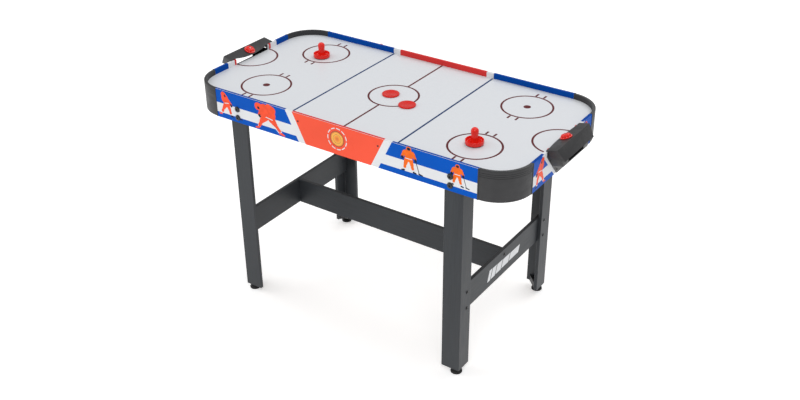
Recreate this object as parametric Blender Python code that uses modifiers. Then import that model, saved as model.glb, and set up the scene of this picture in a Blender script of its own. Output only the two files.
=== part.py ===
"""Air hockey table: a 48 x 24 inch cabinet on four bolted legs, with goals, pushers and pucks.

The origin is on the floor under the table's centre. X runs along the table, -Y is its front
and +Z is up. Sizes are in metres.
"""

import math

import bmesh
import bpy
from mathutils import Matrix

# ---- Cabinet
LENGTH = 1.219  # over the end aprons
WIDTH = 0.610  # over the side aprons
RAIL_TOP = 0.775  # floor to the top of the rails
APRON_HEIGHT = 0.100
APRON_THICKNESS = 0.009
CORNER_RADIUS = 0.1125  # outside of the rounded corners
PLAY_DEPTH = 0.018  # rail top down to the playing surface
SURFACE_THICKNESS = 0.005
CHAMBER_HEIGHT = 0.011  # air chamber between the surface and the bottom panel
PANEL_THICKNESS = 0.003
SPACER_WIDTH = 0.018
CROSS_SPACER_X = 0.200
GAP = 0.0003  # between pieces that touch
EDGE_BEVEL = 0.0008
OVERCUT = 0.010  # how far a cutter runs past what it cuts

# ---- Corner caps
CAP_STEPS = 12
GROOVE_COUNT = 3
GROOVE_PITCH = 0.006
GROOVE_WIDTH = 0.0016
GROOVE_DEPTH = 0.0010
GROOVE_TOP_DROP = 0.010  # rail top down to the first groove
TONGUE_LENGTH = 0.027
TONGUE_THICKNESS = 0.003
TONGUE_HEIGHT = 0.045
TONGUE_ROOT = 0.014  # how far its root runs into the cap
TONGUE_NECK = 0.001  # where the root starts, in from the cap's end
TONGUE_DROP = 0.003  # bottom panel down to its top

# ---- Legs and feet
LEG_FACE_X = 0.445  # table centre to the outer end face of a leg
LEG_BOARD = 0.012
LEG_FLANGE_X = 0.065
LEG_FLANGE_Y = 0.061
LEG_BOTTOM = 0.020
FOOT_INSET = 0.0195  # outer leg faces to the foot's axis
FOOT_RADIUS = 0.019
FOOT_PAD_HEIGHT = 0.006
FOOT_CONE_RISE = 0.003
FOOT_SHOULDER = 0.002
FOOT_BEVEL = 0.001
FOOT_NECK_RADIUS = 0.0075
FOOT_STEM_RADIUS = 0.0038
FOOT_STEM_LENGTH = 0.018
FOOT_BORE_CLEARANCE = 0.0004
BLOCK_SIDE = 0.042
BLOCK_HEIGHT = 0.024
BLOCK_CHAMFER = 0.002

# ---- Stretchers
STRETCHER_HEIGHT = 0.095
STRETCHER_BOTTOM = 0.226
STRETCHER_BOARD = 0.012

# ---- Leg bolts
BOLT_X = 0.405
BOLT_DROPS = (0.0525, 0.0820)  # rail top down to each bolt
BOLT_HEAD_RADIUS = 0.010
BOLT_HEAD_HEIGHT = 0.004
BOLT_SHANK_RADIUS = 0.003
BOLT_TAIL = 0.004  # past the leg board
BOLT_CLEARANCE = 0.0004

# ---- Goals
GOAL_HALF_WIDTH = 0.085
GOAL_SILL_DROP = 0.006  # playing surface down to the sill of the opening
MOUTH_INSET = 0.002  # how much narrower the moulding's opening is
FLANGE_THICKNESS = 0.0027
FLANGE_TOP_HALF = 0.110
FLANGE_BOTTOM_HALF = 0.0395
FLANGE_SHOULDER_DROP = 0.018
FLANGE_FOOT_RISE = 0.001  # above the apron's bottom edge
MOULDING_WALL = 0.0025
TRAY_BACK = 0.0015  # apron's face to the tray's back
TRAY_DEPTH = 0.0415  # out from the apron
TRAY_TOP_DROP = 0.023  # rail top down to the tray's rim
TRAY_FLOOR_DROP = 0.0595
TRAY_FLOOR_RISE = 0.010  # how much higher the floor is at its outer end
TRAY_TOP_HALF = 0.0970
TRAY_BOTTOM_HALF = 0.0755
TRAY_SIDE_SLOPE = 0.002  # how much narrower the outer end is
RETURN_HALF_WIDTH = 0.050
RETURN_HEIGHT = 0.0235  # from the tray's rim down to its floor
HOOD_INNER_X = -0.0045  # ends of its inner edge, from the apron's outer face
HOOD_EDGE_RISE = 0.0030  # the same ends above the rail
HOOD_BULGE = 0.0100  # how much further in the middle of the inner edge reaches
HOOD_DROOP = 0.0081  # and how much lower it hangs
HOOD_VISOR_HALF = 0.083  # half of the width that bulges and droops
HOOD_VISOR_STEPS = 8
HOOD_RIDGE_X = 0.0295
HOOD_RISE = 0.0110  # ridge above the rail
HOOD_REACH = 0.0525
HOOD_SIDE_X = 0.004  # end walls' foot, out from the inner edge
HOOD_END_HALF = 0.109
HOOD_RIDGE_HALF = 0.107
HOOD_FACE_HALF = 0.095
HOOD_SIDE_HALF = 0.105

# ---- Score dials
DIAL_X = 0.0060  # axis, out from the apron's outer face where it meets the hood
DIAL_SEAT_RISE = 0.0008  # boss above the hood
DIAL_SKIRT_RADIUS = 0.019
DIAL_SKIRT_HEIGHT = 0.003
DIAL_SKIRT_BEVEL = 0.0006
DIAL_DOME_RADIUS = 0.0155
DIAL_HEIGHT = 0.0105
DIAL_SHELF = 0.0058  # the screw head's seat
DIAL_NOTCHES = 10
DIAL_NOTCH_RADIUS = 0.0018
DIAL_SCREW_RADIUS = 0.0020
DIAL_SCREW_HEAD = 0.0038
DIAL_SCREW_SINK = 0.0010  # dial's top down to the screw's
DIAL_SCREW_BEVEL = 0.0004
DIAL_SCREW_DEPTH = 0.0055
DIAL_BOSS_RADIUS = 0.0120
DIAL_BOSS_HEIGHT = 0.0035
DIAL_CLEARANCE = 0.0003

# ---- Pushers and pucks
PUSHER_RADIUS = 0.029
PUSHER_HEIGHT = 0.052
PUSHER_RIM_HEIGHT = 0.015
PUSHER_WALL = 0.003
PUSHER_FLOOR = 0.0030
PUSHER_FLOOR_FILLET = 0.0035
PUSHER_RIM_ROUND = 0.0010
PUSHER_FOOT_BEVEL = 0.0010
PUSHER_HANDLE_RADIUS = 0.0120
PUSHER_NECK_RADIUS = 0.0107
PUSHER_ROOT_RADIUS = 0.0148
FELT_THICKNESS = 0.0014
FELT_RADIUS = 0.0275
PUSHER_PLACES = {"left": (-0.396, 0.130), "right": (0.392, -0.150)}
PUCK_RADIUS = 0.0285
PUCK_THICKNESS = 0.0045
PUCK_BEVEL = 0.0006
PUCK_PLACES = {"left": (-0.013, 0.002), "right": (0.078, -0.0385)}

# ---- Fan under the bottom panel
FAN_SIDE = 0.092
FAN_HEIGHT = 0.025
FAN_BORE = 0.0435
FAN_BLADES = 7
FAN_BLADE_TIP = 0.0415
FAN_BLADE_THICKNESS = 0.0014
FAN_BLADE_SINK = 0.001  # root's depth in the hub
FAN_ROOT_BLADE = (math.radians(42), 0.013)  # pitch and chord
FAN_TIP_BLADE = (math.radians(26), 0.020)
FAN_HUB_RADIUS = 0.0165
FAN_HUB_WALL = 0.0015
FAN_HUB_HEIGHT = 0.016
FAN_BASE = 0.003
FAN_STRUT_WIDTH = 0.004
FAN_STRUT_ROOT = 0.001  # strut's depth in the frame
FAN_CORNER = 0.004
FAN_HUB_LIFT = 0.002  # motor base to the hub
FAN_HUB_BEVEL = 0.0015
FAN_SLEEVE = 0.002  # thickness and depth of the hub's shaft sleeve
FAN_CROWN_SKIN = 0.0008  # left over the shaft's end
FAN_STATOR_DROP = 0.004  # hub's crown down to the stator
FAN_STATOR_RADIUS = 0.0120
FAN_SHAFT_RADIUS = 0.0015
FAN_MOUNT_HOLE = 0.0022
FAN_MOUNT_PITCH = 0.0825
GUARD_WIRE = 0.0016
GUARD_RINGS = (0.012, 0.024, 0.036)

# ---- Switch and power inlet on the back apron
SWITCH_X = 0.300
SWITCH_DROP = 0.072  # rail top down to its centre
SWITCH_BODY = (0.0214, 0.0136)
SWITCH_BEZEL = (0.0254, 0.0176)
SWITCH_BEZEL_HEIGHT = 0.0018
SWITCH_DEPTH = 0.016
ROCKER_LENGTH = 0.0170
ROCKER_WIDTH = 0.0100
ROCKER_FRONT = 0.0022
ROCKER_BACK = 0.0040
ROCKER_ROOM = 0.003  # behind the rocker
ROCKER_BEVEL = 0.0005
ROCKER_TILT = math.radians(8)
INLET_X = 0.262
INLET_RADIUS = 0.0045
INLET_FLANGE_RADIUS = 0.0068
INLET_FLANGE_HEIGHT = 0.0018
INLET_LENGTH = 0.016
INLET_BORE = 0.0031
INLET_BEVEL = 0.0005
INLET_END = 0.002  # thickness of its closed end

# ---- Derived places
PLAY_Z = RAIL_TOP - PLAY_DEPTH
SURFACE_BOTTOM = PLAY_Z - SURFACE_THICKNESS
PANEL_TOP = SURFACE_BOTTOM - CHAMBER_HEIGHT
PANEL_BOTTOM = PANEL_TOP - PANEL_THICKNESS
APRON_BOTTOM = RAIL_TOP - APRON_HEIGHT
INNER_X = LENGTH / 2 - APRON_THICKNESS
INNER_Y = WIDTH / 2 - APRON_THICKNESS
ARC_X = LENGTH / 2 - CORNER_RADIUS
ARC_Y = WIDTH / 2 - CORNER_RADIUS
LEG_FACE_Y = INNER_Y - GAP
LEG_TOP = PANEL_BOTTOM - GAP
BOLT_ZS = tuple(RAIL_TOP - drop for drop in BOLT_DROPS)
FOOT_X = LEG_FACE_X - FOOT_INSET
FOOT_Y = LEG_FACE_Y - FOOT_INSET
HOOD_BOTTOM = RAIL_TOP - TRAY_TOP_DROP + GAP
VISOR_SLOPE = (HOOD_RISE - HOOD_EDGE_RISE + HOOD_DROOP) / (HOOD_RIDGE_X - HOOD_INNER_X + HOOD_BULGE)
DIAL_TILT = math.atan(VISOR_SLOPE)
DIAL_Z = RAIL_TOP + HOOD_RISE - VISOR_SLOPE * (HOOD_RIDGE_X - DIAL_X)
FAN_TOP = PANEL_BOTTOM - GAP
FAN_BOTTOM = FAN_TOP - FAN_HEIGHT
SWITCH_Z = RAIL_TOP - SWITCH_DROP
CORNERS = {
    "front_left": (-1, -1),
    "front_right": (1, -1),
    "back_left": (-1, 1),
    "back_right": (1, 1),
}
ENDS = {"left": math.pi, "right": 0.0}

PARTS = None
CUTTERS = None
MATERIALS = {}


# ---- Scene and object helpers
def clear_scene():
    for obj in list(bpy.data.objects):
        bpy.data.objects.remove(obj, do_unlink=True)


def new_collection(name):
    made = bpy.data.collections.new(name)
    bpy.context.scene.collection.children.link(made)
    return made


def make_materials():
    looks = {
        "white_board": ((0.72, 0.75, 0.79), 0.35, 0.0),
        "printed_film": ((0.02, 0.13, 0.66), 0.35, 0.0),
        "black_plastic": ((0.045, 0.045, 0.048), 0.45, 0.0),
        "charcoal_board": ((0.065, 0.075, 0.088), 0.55, 0.0),
        "raw_board": ((0.40, 0.27, 0.16), 0.80, 0.0),
        "red_plastic": ((0.80, 0.02, 0.02), 0.25, 0.0),
        "felt": ((0.03, 0.03, 0.03), 0.95, 0.0),
        "black_steel": ((0.03, 0.03, 0.03), 0.40, 0.8),
        "plated_steel": ((0.60, 0.60, 0.62), 0.30, 1.0),
    }
    for name, (colour, roughness, metallic) in looks.items():
        made = bpy.data.materials.new(name)
        made.use_nodes = True
        shader = made.node_tree.nodes["Principled BSDF"]
        shader.inputs["Base Color"].default_value = (*colour, 1.0)
        shader.inputs["Roughness"].default_value = roughness
        shader.inputs["Metallic"].default_value = metallic
        MATERIALS[name] = made


def add_object(name, mesh, look=None, location=(0, 0, 0), turn=0.0):
    """A part where a look is given, else a cutter or a helper."""
    obj = bpy.data.objects.new(name, mesh)
    obj.location = location
    obj.rotation_euler.z = turn
    if look is None:
        CUTTERS.objects.link(obj)
        obj.hide_render = True
        obj.display_type = "WIRE"
    else:
        PARTS.objects.link(obj)
        mesh.materials.append(MATERIALS[look])
    return obj


def mesh_from(bm, name):
    bmesh.ops.recalc_face_normals(bm, faces=bm.faces)
    mesh = bpy.data.meshes.new(name)
    bm.to_mesh(mesh)
    bm.free()
    return mesh


def box_mesh(name, low, high):
    bm = bmesh.new()
    size = [b - a for a, b in zip(low, high)]
    centre = [(a + b) / 2 for a, b in zip(low, high)]
    matrix = Matrix.Translation(centre) @ Matrix.Diagonal((*size, 1.0))
    bmesh.ops.create_cube(bm, size=1.0, matrix=matrix)
    return mesh_from(bm, name)


def hull_mesh(name, points):
    """The convex solid that spans the given corners."""
    bm = bmesh.new()
    for point in points:
        bm.verts.new(point)
    bmesh.ops.convex_hull(bm, input=bm.verts)
    loose = [vert for vert in bm.verts if not vert.link_faces]
    bmesh.ops.delete(bm, geom=loose, context="VERTS")
    bmesh.ops.dissolve_limit(bm, angle_limit=math.radians(0.1), verts=bm.verts, edges=bm.edges)
    return mesh_from(bm, name)


def loft_mesh(name, sections):
    """The solid through a row of sections with the same number of corners."""
    bm = bmesh.new()
    rings = [[bm.verts.new(point) for point in section] for section in sections]
    for ring, following in zip(rings, rings[1:]):
        for i in range(len(ring)):
            j = (i + 1) % len(ring)
            bm.faces.new((ring[i], ring[j], following[j], following[i]))
    bm.faces.new(rings[0])
    bm.faces.new(rings[-1])
    bmesh.ops.triangulate(bm, faces=bm.faces)
    return mesh_from(bm, name)


def rod_mesh(name, radius, low, high, axis="Z", steps=16):
    """A cylinder about its axis through the origin, from low to high along it."""
    bm = bmesh.new()
    bmesh.ops.create_cone(
        bm, cap_ends=True, segments=steps, radius1=radius, radius2=radius, depth=high - low
    )
    bmesh.ops.translate(bm, verts=bm.verts, vec=(0, 0, (low + high) / 2))
    turns = {"X": Matrix.Rotation(math.pi / 2, 3, "Y"), "Y": Matrix.Rotation(-math.pi / 2, 3, "X")}
    if axis in turns:
        bmesh.ops.rotate(bm, verts=bm.verts, matrix=turns[axis], cent=(0, 0, 0))
    return mesh_from(bm, name)


def plate_mesh(name, outline, low, high):
    """A flat outline in XY, filled and thickened from low to high."""
    curve = bpy.data.curves.new(name, "CURVE")
    curve.dimensions = "2D"
    curve.fill_mode = "BOTH"
    curve.extrude = (high - low) / 2
    spline = curve.splines.new("POLY")
    spline.points.add(len(outline) - 1)
    for point, (x, y) in zip(spline.points, outline):
        point.co = (x, y, 0, 1)
    spline.use_cyclic_u = True
    holder = bpy.data.objects.new(name, curve)
    CUTTERS.objects.link(holder)
    graph = bpy.context.evaluated_depsgraph_get()
    mesh = bpy.data.meshes.new_from_object(holder.evaluated_get(graph))
    bpy.data.objects.remove(holder)
    bm = bmesh.new()
    bm.from_mesh(mesh)
    bpy.data.meshes.remove(mesh)
    bmesh.ops.remove_doubles(bm, verts=bm.verts, dist=1e-6)
    bmesh.ops.translate(bm, verts=bm.verts, vec=(0, 0, (low + high) / 2))
    return mesh_from(bm, name)


def turned(name, profile, look, location=(0, 0, 0), steps=32, closed=False):
    """A profile of (radius, height) points, run down the outer side, turned about Z."""
    mesh = bpy.data.meshes.new(name)
    edges = [(i, i + 1) for i in range(len(profile) - 1)]
    if closed:
        edges.append((len(profile) - 1, 0))
    edges = [(a, b) for a, b in edges if profile[a][0] > 0 or profile[b][0] > 0]
    mesh.from_pydata([(radius, 0, height) for radius, height in profile], edges, [])
    obj = add_object(name, mesh, look, location)
    screw = obj.modifiers.new("turn", "SCREW")
    screw.steps = steps
    screw.render_steps = steps
    screw.use_merge_vertices = True
    screw.merge_threshold = 0.0001
    screw.use_smooth_shade = True
    return obj


def cut(obj, mesh, location=(0, 0, 0), operation="DIFFERENCE"):
    """Cuts the mesh out of the object, or joins it on. It is placed in the object's own frame."""
    tool = add_object(obj.name + "_tool", mesh)
    tool.matrix_world = obj.matrix_basis @ Matrix.Translation(location)
    modifier = obj.modifiers.new("cut", "BOOLEAN")
    modifier.operation = operation
    modifier.object = tool
    modifier.solver = "EXACT"
    return obj


def join(obj, mesh, location=(0, 0, 0)):
    return cut(obj, mesh, location, "UNION")


def bevel(obj, width=EDGE_BEVEL, segments=1, angle=40):
    modifier = obj.modifiers.new("edges", "BEVEL")
    modifier.width = width
    modifier.segments = segments
    modifier.limit_method = "ANGLE"
    modifier.angle_limit = math.radians(angle)
    return obj


def board(name, low, high, look):
    return bevel(add_object(name, box_mesh(name, low, high), look))


def rounded_outline(half_x, half_y, radius, steps):
    points = []
    for quarter, (sx, sy) in enumerate(((1, 1), (-1, 1), (-1, -1), (1, -1))):
        for i in range(steps + 1):
            angle = math.pi / 2 * (quarter + i / steps)
            x = sx * (half_x - radius) + radius * math.cos(angle)
            y = sy * (half_y - radius) + radius * math.sin(angle)
            points.append((x, y))
    return points


# ---- Cabinet
def make_surface():
    outline = rounded_outline(
        INNER_X - GAP, INNER_Y - GAP, CORNER_RADIUS - APRON_THICKNESS - GAP, CAP_STEPS
    )
    mesh = plate_mesh("playing_surface", outline, SURFACE_BOTTOM, PLAY_Z)
    add_object("playing_surface", mesh, "white_board")


def make_bottom_panel():
    outline = rounded_outline(
        INNER_X - GAP, INNER_Y - GAP, CORNER_RADIUS - APRON_THICKNESS - GAP, CAP_STEPS
    )
    mesh = plate_mesh("bottom_panel", outline, PANEL_BOTTOM, PANEL_TOP)
    panel = add_object("bottom_panel", mesh, "raw_board")
    hole = rod_mesh("air_hole", FAN_BORE, PANEL_BOTTOM - OVERCUT, PANEL_TOP + OVERCUT, steps=32)
    cut(panel, hole)


def make_spacers():
    """Strips on the bottom panel that carry the surface and close the air chamber."""
    low_z = PANEL_TOP + GAP
    high_z = SURFACE_BOTTOM - GAP
    side_x = ARC_X
    outer_y = INNER_Y - GAP
    outer_x = INNER_X - GAP
    for name, sign in (("front", -1), ("back", 1)):
        ys = sorted((sign * outer_y, sign * (outer_y - SPACER_WIDTH)))
        board(f"spacer_{name}", (-side_x, ys[0], low_z), (side_x, ys[1], high_z), "raw_board")
    for name, sign in (("left", -1), ("right", 1)):
        xs = sorted((sign * outer_x, sign * (outer_x - SPACER_WIDTH)))
        board(f"spacer_{name}", (xs[0], -ARC_Y, low_z), (xs[1], ARC_Y, high_z), "raw_board")
    inner_y = outer_y - SPACER_WIDTH - GAP
    for name, centre in (("mid_left", -CROSS_SPACER_X), ("mid_right", CROSS_SPACER_X)):
        low = (centre - SPACER_WIDTH / 2, -inner_y, low_z)
        high = (centre + SPACER_WIDTH / 2, inner_y, high_z)
        board(f"spacer_{name}", low, high, "raw_board")


def bolt_hole(sign_y):
    """A rod along Y through the apron and the leg board behind it."""
    inner = LEG_FACE_Y - LEG_BOARD - OVERCUT
    ends = sorted((sign_y * inner, sign_y * (WIDTH / 2 + OVERCUT)))
    return rod_mesh("bolt_hole", BOLT_SHANK_RADIUS + BOLT_CLEARANCE, *ends, axis="Y")


def make_side_aprons():
    half = ARC_X - GAP
    for name, sign in (("front", -1), ("back", 1)):
        ys = sorted((sign * INNER_Y, sign * WIDTH / 2))
        apron = board(
            f"{name}_apron", (-half, ys[0], APRON_BOTTOM), (half, ys[1], RAIL_TOP), "printed_film"
        )
        for sign_x in (-1, 1):
            for bolt_z in BOLT_ZS:
                cut(apron, bolt_hole(sign), (sign_x * BOLT_X, 0, bolt_z))
        if name == "back":
            cut_electrics(apron)


def cut_electrics(apron):
    half_x = SWITCH_BODY[0] / 2 + GAP
    half_z = SWITCH_BODY[1] / 2 + GAP
    low = (SWITCH_X - half_x, INNER_Y - OVERCUT, SWITCH_Z - half_z)
    high = (SWITCH_X + half_x, WIDTH / 2 + OVERCUT, SWITCH_Z + half_z)
    cut(apron, box_mesh("switch_hole", low, high))
    low, high = INNER_Y - OVERCUT, WIDTH / 2 + OVERCUT
    hole = rod_mesh("inlet_hole", INLET_RADIUS + GAP, low, high, axis="Y")
    cut(apron, hole, (INLET_X, 0, SWITCH_Z))


def make_end_aprons():
    half = ARC_Y - GAP
    for name, turn in ENDS.items():
        low = (INNER_X, -half, APRON_BOTTOM)
        high = (LENGTH / 2, half, RAIL_TOP)
        apron = add_object(f"{name}_apron", box_mesh(name, low, high), "printed_film", turn=turn)
        low = (INNER_X - OVERCUT, -GOAL_HALF_WIDTH, PLAY_Z - GOAL_SILL_DROP)
        high = (LENGTH / 2 + OVERCUT, GOAL_HALF_WIDTH, RAIL_TOP + OVERCUT)
        cut(apron, box_mesh("goal_notch", low, high))
        bevel(apron)


def cap_profile():
    """Section of a corner cap, from its top inner edge round its outer side."""
    inner = CORNER_RADIUS - APRON_THICKNESS
    outer = CORNER_RADIUS
    points = [(inner, RAIL_TOP), (outer - EDGE_BEVEL, RAIL_TOP), (outer, RAIL_TOP - EDGE_BEVEL)]
    for i in range(GROOVE_COUNT):
        top = RAIL_TOP - GROOVE_TOP_DROP - i * GROOVE_PITCH
        points.append((outer, top))
        points.append((outer - GROOVE_DEPTH, top - GROOVE_WIDTH / 3))
        points.append((outer - GROOVE_DEPTH, top - GROOVE_WIDTH * 2 / 3))
        points.append((outer, top - GROOVE_WIDTH))
    points += [(outer, APRON_BOTTOM + EDGE_BEVEL), (outer - EDGE_BEVEL, APRON_BOTTOM)]
    points.append((inner, APRON_BOTTOM))
    return points


def cap_mesh():
    """The front left cap, a quarter ring about its arc's centre with the section spun round."""
    bm = bmesh.new()
    verts = [bm.verts.new((-radius, 0, height)) for radius, height in cap_profile()]
    face = bm.faces.new(verts)
    bmesh.ops.spin(
        bm,
        geom=[face, *face.edges, *face.verts],
        cent=(0, 0, 0),
        axis=(0, 0, 1),
        angle=math.pi / 2,
        steps=CAP_STEPS,
        use_duplicate=False,
    )
    return mesh_from(bm, "corner_cap")


def tongue_mesh():
    """The tongue that reaches behind an apron, on the cap's +X side, about the arc's centre."""
    wall = CORNER_RADIUS - APRON_THICKNESS
    inside = -(wall - GAP - TONGUE_THICKNESS)
    outline = [
        (-TONGUE_ROOT, inside),
        (TONGUE_LENGTH, inside),
        (TONGUE_LENGTH, -(wall - GAP)),
        (-TONGUE_NECK, -(wall - GAP)),
        (-TONGUE_NECK, -(wall + APRON_THICKNESS / 2)),
        (-TONGUE_ROOT, -(wall + APRON_THICKNESS / 2)),
    ]
    top = PANEL_BOTTOM - TONGUE_DROP
    return plate_mesh("tongue", outline, top - TONGUE_HEIGHT, top)


def make_caps():
    for name, (sign_x, sign_y) in CORNERS.items():
        mesh = cap_mesh()
        cap = add_object(f"corner_cap_{name}", mesh, "black_plastic")
        quarter = {(-1, -1): 0, (1, -1): 1, (1, 1): 2, (-1, 1): 3}[(sign_x, sign_y)]
        cap.location = (sign_x * ARC_X, sign_y * ARC_Y, 0)
        cap.rotation_euler.z = quarter * math.pi / 2
        join(cap, tongue_mesh())
        other = tongue_mesh()
        other.transform(Matrix(((0, 1, 0, 0), (1, 0, 0, 0), (0, 0, 1, 0), (0, 0, 0, 1))))
        other.flip_normals()
        join(cap, other)


# ---- Legs, feet and stretchers
def make_legs():
    for name, (sign_x, sign_y) in CORNERS.items():
        x0 = sign_x * LEG_FACE_X
        y0 = sign_y * LEG_FACE_Y
        outline = [
            (x0, y0),
            (x0 - sign_x * LEG_FLANGE_X, y0),
            (x0 - sign_x * LEG_FLANGE_X, y0 - sign_y * LEG_BOARD),
            (x0 - sign_x * LEG_BOARD, y0 - sign_y * LEG_BOARD),
            (x0 - sign_x * LEG_BOARD, y0 - sign_y * LEG_FLANGE_Y),
            (x0, y0 - sign_y * LEG_FLANGE_Y),
        ]
        mesh = plate_mesh(f"leg_{name}", outline, LEG_BOTTOM, LEG_TOP)
        leg = bevel(add_object(f"leg_{name}", mesh, "charcoal_board"))
        for bolt_z in BOLT_ZS:
            cut(leg, bolt_hole(sign_y), (sign_x * BOLT_X, 0, bolt_z))


def make_foot_blocks():
    for name, (sign_x, sign_y) in CORNERS.items():
        corner_x = sign_x * (LEG_FACE_X - LEG_BOARD - GAP)
        corner_y = sign_y * (LEG_FACE_Y - LEG_BOARD - GAP)
        outline = [
            (corner_x, corner_y - sign_y * BLOCK_CHAMFER),
            (corner_x - sign_x * BLOCK_CHAMFER, corner_y),
            (corner_x - sign_x * BLOCK_SIDE, corner_y),
            (corner_x, corner_y - sign_y * BLOCK_SIDE),
        ]
        mesh = plate_mesh("block", outline, LEG_BOTTOM, LEG_BOTTOM + BLOCK_HEIGHT)
        block = add_object(f"foot_block_{name}", mesh, "black_plastic")
        high = LEG_BOTTOM + BLOCK_HEIGHT + OVERCUT
        bore = rod_mesh("foot_bore", FOOT_STEM_RADIUS + FOOT_BORE_CLEARANCE, 0, high)
        cut(block, bore, (sign_x * FOOT_X, sign_y * FOOT_Y, 0))


def make_feet():
    neck_top = LEG_BOTTOM - GAP
    profile = [
        (0, neck_top + FOOT_STEM_LENGTH),
        (FOOT_STEM_RADIUS, neck_top + FOOT_STEM_LENGTH),
        (FOOT_STEM_RADIUS, neck_top),
        (FOOT_NECK_RADIUS, neck_top),
        (FOOT_NECK_RADIUS, FOOT_PAD_HEIGHT + FOOT_CONE_RISE),
        (FOOT_RADIUS - FOOT_SHOULDER, FOOT_PAD_HEIGHT),
        (FOOT_RADIUS, FOOT_PAD_HEIGHT - FOOT_SHOULDER),
        (FOOT_RADIUS, FOOT_BEVEL),
        (FOOT_RADIUS - FOOT_BEVEL, 0),
        (0, 0),
    ]
    for name, (sign_x, sign_y) in CORNERS.items():
        turned(f"foot_{name}", profile, "black_plastic", (sign_x * FOOT_X, sign_y * FOOT_Y, 0), 16)


def make_stretchers():
    top = STRETCHER_BOTTOM + STRETCHER_HEIGHT
    outer_x = LEG_FACE_X - LEG_BOARD - GAP
    half_y = LEG_FACE_Y - LEG_BOARD - GAP
    for name, sign in (("left", -1), ("right", 1)):
        xs = sorted((sign * outer_x, sign * (outer_x - STRETCHER_BOARD)))
        low = (xs[0], -half_y, STRETCHER_BOTTOM)
        board(f"end_stretcher_{name}", low, (xs[1], half_y, top), "charcoal_board")
    half_x = outer_x - STRETCHER_BOARD - GAP
    low = (-half_x, -STRETCHER_BOARD / 2, STRETCHER_BOTTOM)
    board("long_stretcher", low, (half_x, STRETCHER_BOARD / 2, top), "charcoal_board")


def make_leg_bolts():
    length = APRON_THICKNESS + 2 * GAP + LEG_BOARD + BOLT_TAIL
    profile = [
        (0, BOLT_HEAD_HEIGHT),
        (BOLT_HEAD_RADIUS * 0.6, BOLT_HEAD_HEIGHT),
        (BOLT_HEAD_RADIUS * 0.9, BOLT_HEAD_HEIGHT * 0.7),
        (BOLT_HEAD_RADIUS, BOLT_HEAD_HEIGHT * 0.3),
        (BOLT_HEAD_RADIUS, 0),
        (BOLT_SHANK_RADIUS, 0),
        (BOLT_SHANK_RADIUS, -length),
        (0, -length),
    ]
    for corner, (sign_x, sign_y) in CORNERS.items():
        for level, bolt_z in zip(("upper", "lower"), BOLT_ZS):
            place = (sign_x * BOLT_X, sign_y * (WIDTH / 2 + GAP), bolt_z)
            bolt = turned(f"leg_bolt_{corner}_{level}", profile, "black_steel", place, 12)
            bolt.rotation_euler.x = -sign_y * math.pi / 2


# ---- Goals
def goal_flange():
    inner = LENGTH / 2 + GAP
    outer = inner + FLANGE_THICKNESS
    points = []
    for x in (inner, outer):
        for sign in (-1, 1):
            points.append((x, sign * FLANGE_TOP_HALF, RAIL_TOP - GAP))
            points.append((x, sign * FLANGE_TOP_HALF, RAIL_TOP - FLANGE_SHOULDER_DROP))
            points.append((x, sign * FLANGE_BOTTOM_HALF, APRON_BOTTOM + FLANGE_FOOT_RISE))
    return hull_mesh("flange", points)


def tray_hull(inset, rise):
    """The tray's outside, or its hollow when inset by the wall and raised past its rim."""
    near = LENGTH / 2 + TRAY_BACK + 2 * inset
    far = LENGTH / 2 + TRAY_DEPTH - inset
    top = RAIL_TOP - TRAY_TOP_DROP
    floor = RAIL_TOP - TRAY_FLOOR_DROP + inset
    slope = (TRAY_TOP_HALF - TRAY_BOTTOM_HALF) / (TRAY_FLOOR_DROP - TRAY_TOP_DROP)
    points = []
    for x, narrower, lift in ((near, 0, 0), (far, TRAY_SIDE_SLOPE, TRAY_FLOOR_RISE)):
        for sign in (-1, 1):
            top_half = TRAY_TOP_HALF - narrower - inset + slope * rise
            bottom_half = TRAY_BOTTOM_HALF - narrower - inset + slope * lift
            points.append((x, sign * top_half, top + rise))
            points.append((x, sign * bottom_half, floor + lift))
    return hull_mesh("tray", points)


def make_goal_boxes():
    for name, turn in ENDS.items():
        box = add_object(f"goal_box_{name}", goal_flange(), "black_plastic", turn=turn)
        join(box, tray_hull(0, 0))
        cut(box, tray_hull(MOULDING_WALL, OVERCUT))
        mouth = GOAL_HALF_WIDTH - MOUTH_INSET
        low = (LENGTH / 2 - OVERCUT, -mouth, PLAY_Z - GOAL_SILL_DROP)
        high = (LENGTH / 2 + 2 * OVERCUT, mouth, RAIL_TOP + OVERCUT)
        cut(box, box_mesh("goal_mouth", low, high))
        rim = RAIL_TOP - TRAY_TOP_DROP
        face = LENGTH / 2 + TRAY_DEPTH
        low = (face - OVERCUT, -RETURN_HALF_WIDTH, rim - RETURN_HEIGHT)
        high = (face + OVERCUT, RETURN_HALF_WIDTH, rim + OVERCUT)
        cut(box, box_mesh("return_slot", low, high))


def hood_section(y, end, inset):
    """Section of the hood at y, or of its hollow when inset. It runs on past the open sides."""
    over = OVERCUT if inset else 0.0
    share = max(0.0, 1 - (y / HOOD_VISOR_HALF) ** 2)
    edge_x = HOOD_INNER_X - HOOD_BULGE * share
    edge_rise = HOOD_EDGE_RISE - HOOD_DROOP * share
    top_slope = (HOOD_RISE - edge_rise) / (HOOD_RIDGE_X - edge_x)
    face_slope = (HOOD_REACH - HOOD_RIDGE_X) / (RAIL_TOP + HOOD_RISE - HOOD_BOTTOM)
    ridge_back = inset / 2
    foot_z = HOOD_BOTTOM - over
    corners = (
        (edge_x - over, RAIL_TOP + edge_rise - inset - top_slope * over, HOOD_END_HALF),
        (HOOD_RIDGE_X - ridge_back, RAIL_TOP + HOOD_RISE - inset - top_slope * ridge_back, HOOD_RIDGE_HALF),
        (HOOD_REACH - inset + face_slope * over, foot_z, HOOD_FACE_HALF),
        (HOOD_INNER_X + HOOD_SIDE_X - over, foot_z, HOOD_SIDE_HALF),
    )
    return [(LENGTH / 2 + x, y / end * (half - inset), z) for x, z, half in corners]


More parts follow.
